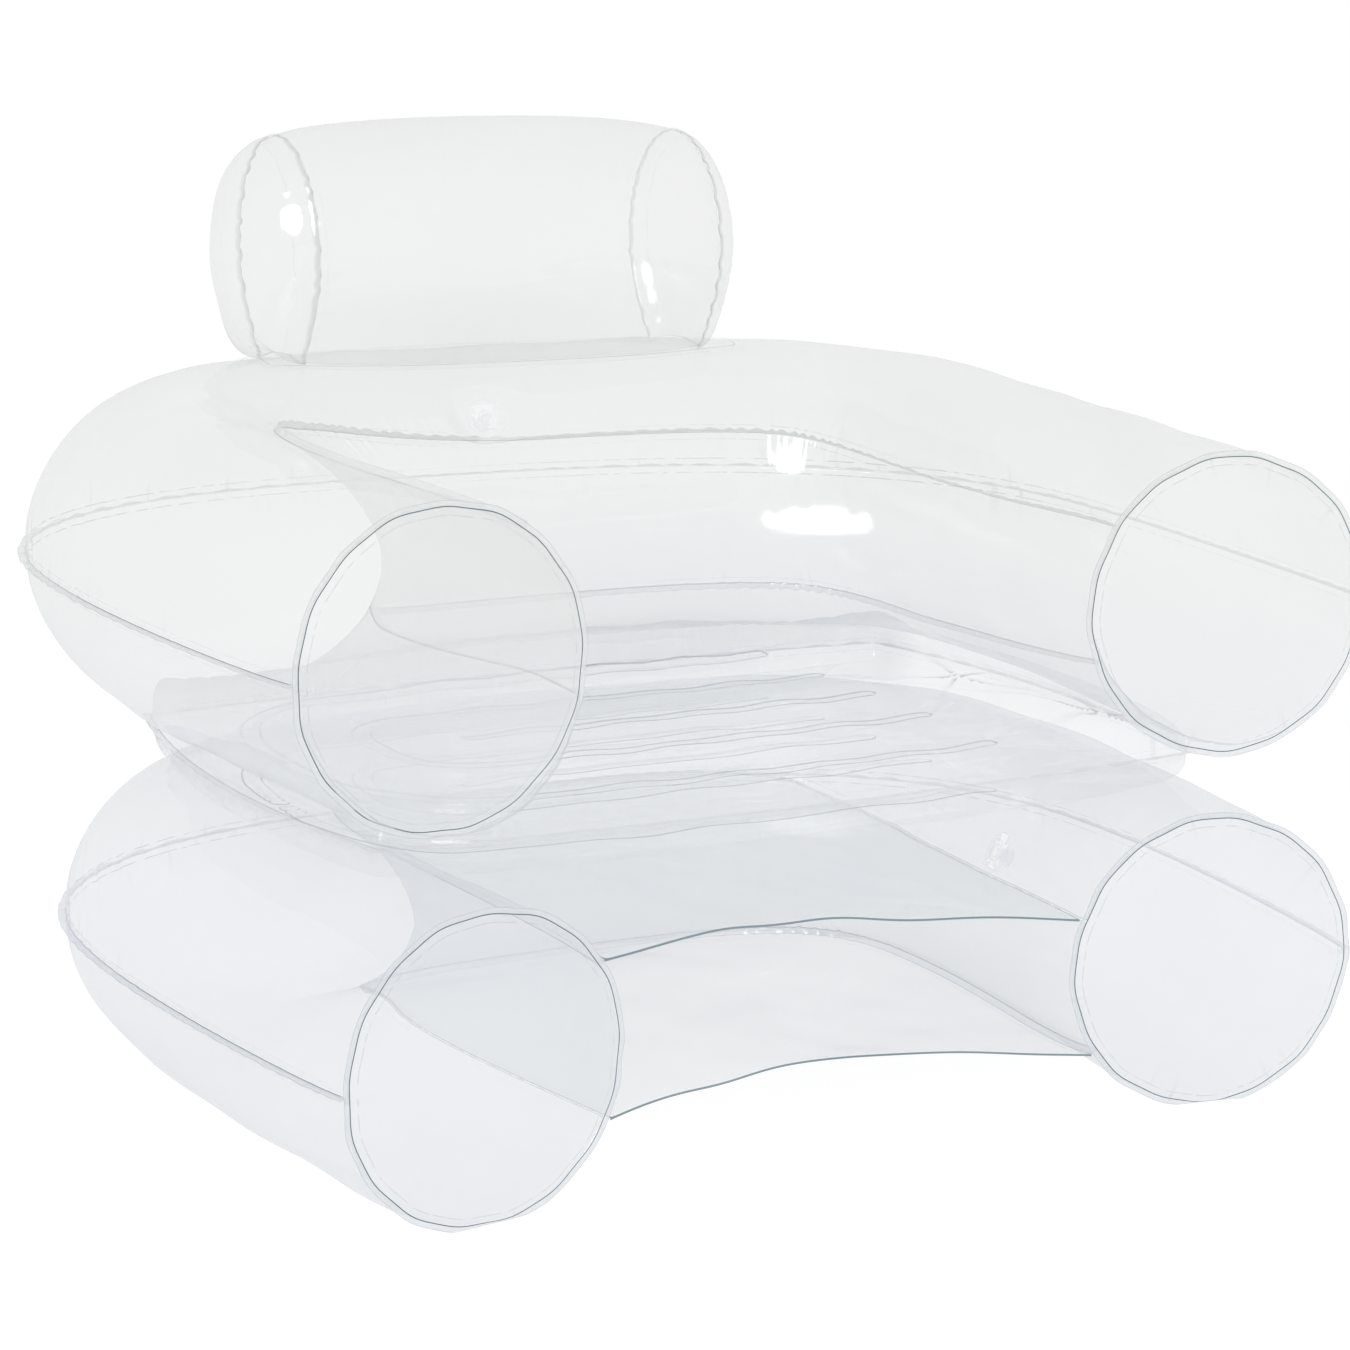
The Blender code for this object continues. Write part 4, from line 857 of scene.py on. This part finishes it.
def build_seat_sheet(node, side, seed):
    """One sheet of the seat, crowned, with its channels, knots, puckers and its weld's flange."""
    even = np.linspace(-1, 1, SEAT_COLUMNS)
    columns = np.sin(even * math.pi / 2) * 0.5 + even * 0.5
    across, deep = np.meshgrid(columns, np.linspace(-1, 1, SEAT_ROWS), indexing="xy")
    x, y = seat_plan(across, deep)
    rise, nearest = seat_height(x, y, across, deep, side)
    rim = np.minimum((1 - np.abs(across)) * SEAT_HALF_WIDTH, (1 - np.abs(deep)) * SEAT_HALF_DEPTH)
    run = (np.arctan2(y - SEAT_TURN_CENTRE, x) + math.pi) * SEAT_TURN_RADIUS
    phase = wave_phase(run, SEAT_PUCKER_SPACING, seed)
    strokes = np.clip(np.cos(phase), 0, 1) ** 2 * np.exp(-rim / SEAT_PUCKER_REACH)
    folds = knot_folds(x, y) if side > 0 else np.zeros_like(x)
    rise = rise - strokes * SEAT_PUCKER - folds * KNOT_DEPTH * smooth(rim / 0.02)
    rise = rise + gentle(x, y, seed + 1, SOFT_SIZE) * SEAT_BULGE * smooth(rim / STEADY_EDGE)
    rise = np.maximum(rise, WELD_GAP / 2 + FILM / 2)
    points = np.stack([x, y + PLAN_SHIFT, SEAT_RIM_HEIGHT + side * rise], axis=-1)
    root_ink = 0.15 + 0.40 * smooth((np.abs(across) - np.abs(deep) + 0.05) / 0.10)
    # half the knots' fold depth is painted as shade into their creases
    values = [rim + rise, run + seed, root_ink, nearest, folds * 0.5, seat_haze(x, y)]
    for reach in (0.5, 1.0):
        points, values = seat_flange(points, values, reach)
    seam, run, root_ink, nearest, crease, haze = values
    film_piece(node, points, seam, run, 0.25, (root_ink, 0.25), nearest - TIE_WELD_HALF_WIDTH,
               crease, haze)


def seat_flange(points, values, reach):
    """Adds one more ring of points round the grid, half a weld's width outside it."""
    grown = np.pad(points, ((1, 1), (1, 1), (0, 0)), mode="edge")
    step = WELD_WIDTH / 2
    grown[0, :, 1] -= step
    grown[-1, :, 1] += step
    grown[:, 0, 0] -= step
    grown[:, -1, 0] += step
    ring = np.ones(grown.shape[:2], dtype=bool)
    ring[1:-1, 1:-1] = False
    wave = SEAT_FLANGE_WAVE * np.sin(grown[..., 0] * 150) * np.sin(grown[..., 1] * 140)
    grown[..., 2] += np.where(ring, wave, 0)
    seam = np.pad(values[0], 1, constant_values=-reach * WELD_WIDTH)
    return grown, [seam] + [np.pad(value, 1, mode="edge") for value in values[1:]]


def build_tie(name, path):
    """Strip welded along a line of the seat: its upper foot, its upright web and its lower foot."""
    run = unit(np.gradient(path, axis=0))
    side = np.stack([-run[:, 1], run[:, 0]], axis=-1)
    offsets = np.array([-TIE_FOOT, -TIE_FOOT / 2, 0, 0, 0, 0, TIE_FOOT / 2, TIE_FOOT])
    levels = np.array([1, 1, 1, 0.6, 0.3, 0, 0, 0])
    spots = path[:, None] + side[:, None] * offsets[None, :, None]
    x, y = spots[..., 0], spots[..., 1]
    across, deep = x / SEAT_HALF_WIDTH, (y - SEAT_MIDDLE) / SEAT_HALF_DEPTH
    top, _ = seat_height(x, y, across, deep, 1)
    bottom, _ = seat_height(x, y, across, deep, -1)
    lift = FILM + WELD_GAP
    z = SEAT_RIM_HEIGHT + (top - lift) * levels - (bottom - lift) * (1 - levels)
    points = np.stack([x, y + PLAN_SHIFT, z], axis=-1)
    seam = np.array([TIE_SEAM_MM]) / 1000 * np.ones_like(x)
    film_piece("seat_tie_strip_" + name, points, seam, inks=(0.2, 0), haze=TIE_HAZE)


def build_seat():
    build_seat_sheet("seat_top_sheet", 1, 81)
    build_seat_sheet("seat_bottom_sheet", -1, 91)
    for name, path in tie_lines().items():
        build_tie(name, path)


# ---- backrest pillow

def tube_top(x, y):
    gap, height, stretch = tube_distance(UPPER, x, y)
    return height + stretch * np.sqrt(np.maximum(TUBE_RADIUS ** 2 - gap ** 2, 0))


def foot_height(x, y):
    return tube_top(x, y) + BASE_SEAT_GAP + FILM * 1.5 + FOOT_SEAT_GAP


def pillow_sections(x, foot_count=14, arch_count=70):
    """Outlines of the pillow across the chair, from the front foot over the top to the back one."""
    x = np.asarray(x)[:, None]
    draw = PILLOW_END_DRAW_IN * (x / PILLOW_HALF_SPAN) ** 4
    deep = PILLOW_HALF_DEPTH - draw
    share = np.linspace(0, 1, foot_count, endpoint=False)[None]
    depth = PILLOW_BASE_HALF_DEPTH + (deep - PILLOW_BASE_HALF_DEPTH) * np.sin(share * math.pi / 2)
    front_foot = foot_height(x, np.full(x.shape, PILLOW_MIDDLE - PILLOW_BASE_HALF_DEPTH))
    back_foot = foot_height(x, np.full(x.shape, PILLOW_MIDDLE + PILLOW_BASE_HALF_DEPTH))
    turn = np.linspace(0, math.pi, arch_count)[None]
    arch_y = PILLOW_MIDDLE - deep * np.cos(turn)
    arch_z = PILLOW_WIDE_HEIGHT + (PILLOW_CROWN - draw) * np.sin(turn)
    rising_z = front_foot + (PILLOW_WIDE_HEIGHT - front_foot) * share
    falling_z = back_foot + (PILLOW_WIDE_HEIGHT - back_foot) * share[:, ::-1]
    y = np.concatenate([PILLOW_MIDDLE - depth, arch_y, PILLOW_MIDDLE + depth[:, ::-1]], axis=1)
    z = np.concatenate([rising_z, arch_z, falling_z], axis=1)
    return np.stack([np.broadcast_to(x, y.shape), y + PLAN_SHIFT, z], axis=-1)


def side_strokes(run, seed, distance):
    phase = wave_phase(run, PILLOW_PUCKER_SPACING, seed)[None]
    return np.clip(np.cos(phase), 0, 1) ** 2 * np.exp(-distance / PILLOW_PUCKER_REACH)


def build_wrap():
    x = PILLOW_HALF_SPAN * (crowded(71, 0.6) * 2 - 1)
    points = pillow_sections(x)
    run = outline_run(points[35])[None]
    from_side = (PILLOW_HALF_SPAN - np.abs(x))[:, None]
    centre = np.array([0, PILLOW_MIDDLE + PLAN_SHIFT, PILLOW_WIDE_HEIGHT])
    inward = unit((centre - points) * np.array([0, 1, 1]))
    foot = np.minimum(run, run.max() - run)
    soft = gentle(x[:, None], run, 17, WRAP_BULGE_SIZE) * WRAP_BULGE
    soft = soft * smooth(from_side / 0.04) * smooth(foot / 0.04)
    strokes = side_strokes(run[0], 7, from_side) * WRAP_PUCKER
    points = points + inward * (strokes + soft)[..., None]
    seam = np.minimum(from_side, foot)
    along = np.where(from_side < foot, run, x[:, None])
    points = lean(points, LEAN_PILLOW, LEAN_PILLOW_TWIST)
    film_piece("backrest_wrap", points, seam, along + 3, 0.12 * smooth(foot / 0.02), (0.25, 0.0))


def build_gusset(side, node, seed):
    """Oval side panel, domed outwards from the wrap's end, with a narrow flange at its seam."""
    edge = pillow_sections([side * PILLOW_HALF_SPAN])[0]
    y = PILLOW_MIDDLE + PILLOW_BASE_HALF_DEPTH * np.linspace(1, -1, 26)[1:-1]
    x = np.full_like(y, side * PILLOW_HALF_SPAN)
    edge = np.concatenate([edge, np.stack([x, y + PLAN_SHIFT, foot_height(x, y)], axis=-1)])
    centre = np.array([side * PILLOW_HALF_SPAN, PILLOW_MIDDLE + PLAN_SHIFT, PILLOW_WIDE_HEIGHT])
    shares = np.concatenate([[0.001], np.linspace(0.06, 0.86, 16),
                             [0.90, 0.93, 0.96, 0.98, 0.992, 1.0]])
    offset = edge - centre
    run = outline_run(edge)
    from_edge = (1 - shares)[:, None] * np.linalg.norm(offset, axis=-1)[None]
    dome = PILLOW_DOMES[side] * np.sqrt(1 - shares ** 2)[:, None]
    soft = gentle(offset[None, :, 1] * shares[:, None], offset[None, :, 2] * shares[:, None],
                  seed, SOFT_SIZE)
    lift = WELD_GAP + FILM / 2 + dome - side_strokes(run, seed, from_edge) * GUSSET_PUCKER
    lift = lift + soft * GUSSET_BULGE * smooth(from_edge / STEADY_EDGE)
    points = centre + offset[None] * shares[:, None, None]
    points[..., 0] += side * lift
    flange = edge + unit(offset) * PILLOW_FLANGE
    flange[:, 0] += side * (WELD_GAP + FILM / 2)
    foot = foot_height(flange[:, 0], flange[:, 1] - PLAN_SHIFT)
    flange[:, 2] = np.maximum(flange[:, 2], foot)
    seam = np.concatenate([from_edge, np.full((1, len(edge)), -PILLOW_FLANGE)])
    points = lean(np.concatenate([points, flange[None]]), LEAN_PILLOW, LEAN_PILLOW_TWIST)
    film_piece(node, points, seam, run[None] + seed, 0.15, (0.30, 0.0), round_trip=True)


def build_pillow_base():
    """Sheet under the pillow that lies along the tube's top and is welded to it."""
    x, share = np.meshgrid(np.linspace(-1, 1, 90) * PILLOW_BASE_HALF_SPAN,
                           np.linspace(-1, 1, 30), indexing="ij")
    half = PILLOW_BASE_HALF_DEPTH + WELD_WIDTH
    y = PILLOW_MIDDLE + share * half
    z = tube_top(x, y) + BASE_SEAT_GAP + FILM / 2
    points = lean(np.stack([x, y + PLAN_SHIFT, z], axis=-1), LEAN_BASE)
    inside = np.minimum((1 - np.abs(share)) * half, PILLOW_BASE_HALF_SPAN - np.abs(x)) - WELD_WIDTH
    film_piece("backrest_base_sheet", points, inside, x + 5, 0.2, (0.6, 0.15),
               haze=PILLOW_BASE_HAZE)


# ---- valves, stage, light and camera

FLOOR_GLOW = 1.08
WHITE_START, WHITE_END = 0.7, 1.6  # metres from the middle where the floor turns pure white
WORLD_LEVEL = 0.80


def finish_valves():
    for name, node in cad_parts.items():
        if "_valve_" in name:
            node.data.materials.clear()
            node.data.materials.append(VALVE_MATERIAL)


def seen_rays(n):
    """1 for rays that reach the eye straight, by gloss or through clear film."""
    path = n.add("ShaderNodeLightPath").outputs
    return n.most(path["Is Camera Ray"], path["Is Glossy Ray"], path["Is Transmission Ray"])


def build_stage():
    """Plain white floor that takes the chair's soft shadow and runs out into pure white."""
    bpy.ops.mesh.primitive_plane_add(size=60, location=(0, 0, 0))
    floor = bpy.context.object
    floor.name = "studio_floor"
    material, tree = new_material("studio_floor_white")
    n = Nodes(tree)
    place = n.add("ShaderNodeTexCoord").outputs["Object"]
    away = n.add("ShaderNodeVectorMath", {0: place}, operation="LENGTH").outputs["Value"]
    far = n.between(away, WHITE_START, WHITE_END)
    near_white = n.add("ShaderNodeEmission", {"Color": (1, 1, 1, 1), "Strength": FLOOR_GLOW})
    white = n.add("ShaderNodeEmission", {"Color": (1, 1, 1, 1), "Strength": 1.0})
    lit = n.add("ShaderNodeBsdfDiffuse", {"Color": (0.90, 0.90, 0.90, 1)})
    near = n.add("ShaderNodeMixShader", {0: 0.75, 1: lit.outputs[0], 2: near_white.outputs[0]})
    both = n.add("ShaderNodeMixShader", {0: far, 1: near.outputs[0], 2: white.outputs[0]})
    mixed = n.add("ShaderNodeMixShader", {0: seen_rays(n), 1: lit.outputs[0], 2: both.outputs[0]})
    n.add("ShaderNodeOutputMaterial", {"Surface": mixed.outputs[0]})
    floor.data.materials.append(material)


LAMP_TARGET = (0, 0, 0.45)
# Place, width, height, power in watts, and whether it is seen in gloss alone or lights alone
LAMPS = {
    "soft_left": ((-3.0, -2.0, 2.4), 2.4, 2.2, 70, False),
    "soft_right": ((3.0, -2.2, 2.0), 2.0, 2.2, 60, False),
    "window_left": ((-2.1, -2.3, 2.2), 2.5, 1.7, 98, True),
}


def build_world():
    world = bpy.data.worlds.new("studio")
    bpy.context.scene.world = world
    world.use_nodes = True
    world.node_tree.nodes.clear()
    n = Nodes(world.node_tree)
    strength = n.math("ADD", n.times(seen_rays(n), 1.0 - WORLD_LEVEL), WORLD_LEVEL)
    sky = n.add("ShaderNodeBackground", {"Color": (1, 1, 1, 1), "Strength": strength})
    n.add("ShaderNodeOutputWorld", {"Surface": sky.outputs[0]})


def build_lamps():
    for name, (place, width, height, power, glossy) in LAMPS.items():
        data = bpy.data.lights.new(name, "AREA")
        data.shape = "ELLIPSE"
        data.size, data.size_y = width, height
        data.energy = power
        lamp = bpy.data.objects.new(name, data)
        bpy.context.scene.collection.objects.link(lamp)
        lamp.visible_glossy = glossy
        lamp.visible_diffuse = not glossy
        lamp.location = place
        aim = Vector(LAMP_TARGET) - Vector(place)
        lamp.rotation_euler = aim.to_track_quat("-Z", "Y").to_euler()


CAMERA_LENS, CAMERA_SENSOR = 97.76, 36
CAMERA_PLACE = (-1.432, -2.5178 + PLAN_SHIFT, 1.006)
CAMERA_LOOK = (0.4387, 0.8754, -0.2030)
CAMERA_TURN = {"Z": -0.08, "Y": 0.094, "X": 0.078}  # degrees of roll, left and upward turn


def build_camera():
    data = bpy.data.cameras.new("camera")
    data.lens = CAMERA_LENS
    data.sensor_width = CAMERA_SENSOR
    camera = bpy.data.objects.new("camera", data)
    bpy.context.scene.collection.objects.link(camera)
    look = Vector(CAMERA_LOOK).normalized()
    spin = look.to_track_quat("-Z", "Y").to_matrix().to_4x4()
    for axis, degrees in CAMERA_TURN.items():
        spin = spin @ Matrix.Rotation(math.radians(degrees), 4, axis)
    camera.matrix_world = Matrix.Translation(CAMERA_PLACE) @ spin
    bpy.context.scene.camera = camera


FILM_MATERIAL = film_material("clear_film")
VALVE_MATERIAL = valve_material("clear_moulded_vinyl")


def main():
    scene = bpy.context.scene
    scene.view_settings.view_transform = "Standard"
    scene.cycles.transparent_max_bounces = 64
    scene.cycles.diffuse_bounces = 1
    build_camera()
    build_world()
    build_lamps()
    build_stage()
    build_tube(UPPER, 0)
    build_tube(LOWER, 200)
    build_web("base_top_web", "top_end", TOP_WEB_BOW, 3)
    build_web("base_floor_web", "band_end", FLOOR_WEB_BOW, 5)
    build_seat()
    build_wrap()
    build_gusset(-1, "backrest_left_gusset", 21)
    build_gusset(1, "backrest_right_gusset", 22)
    build_pillow_base()
    finish_valves()


main()
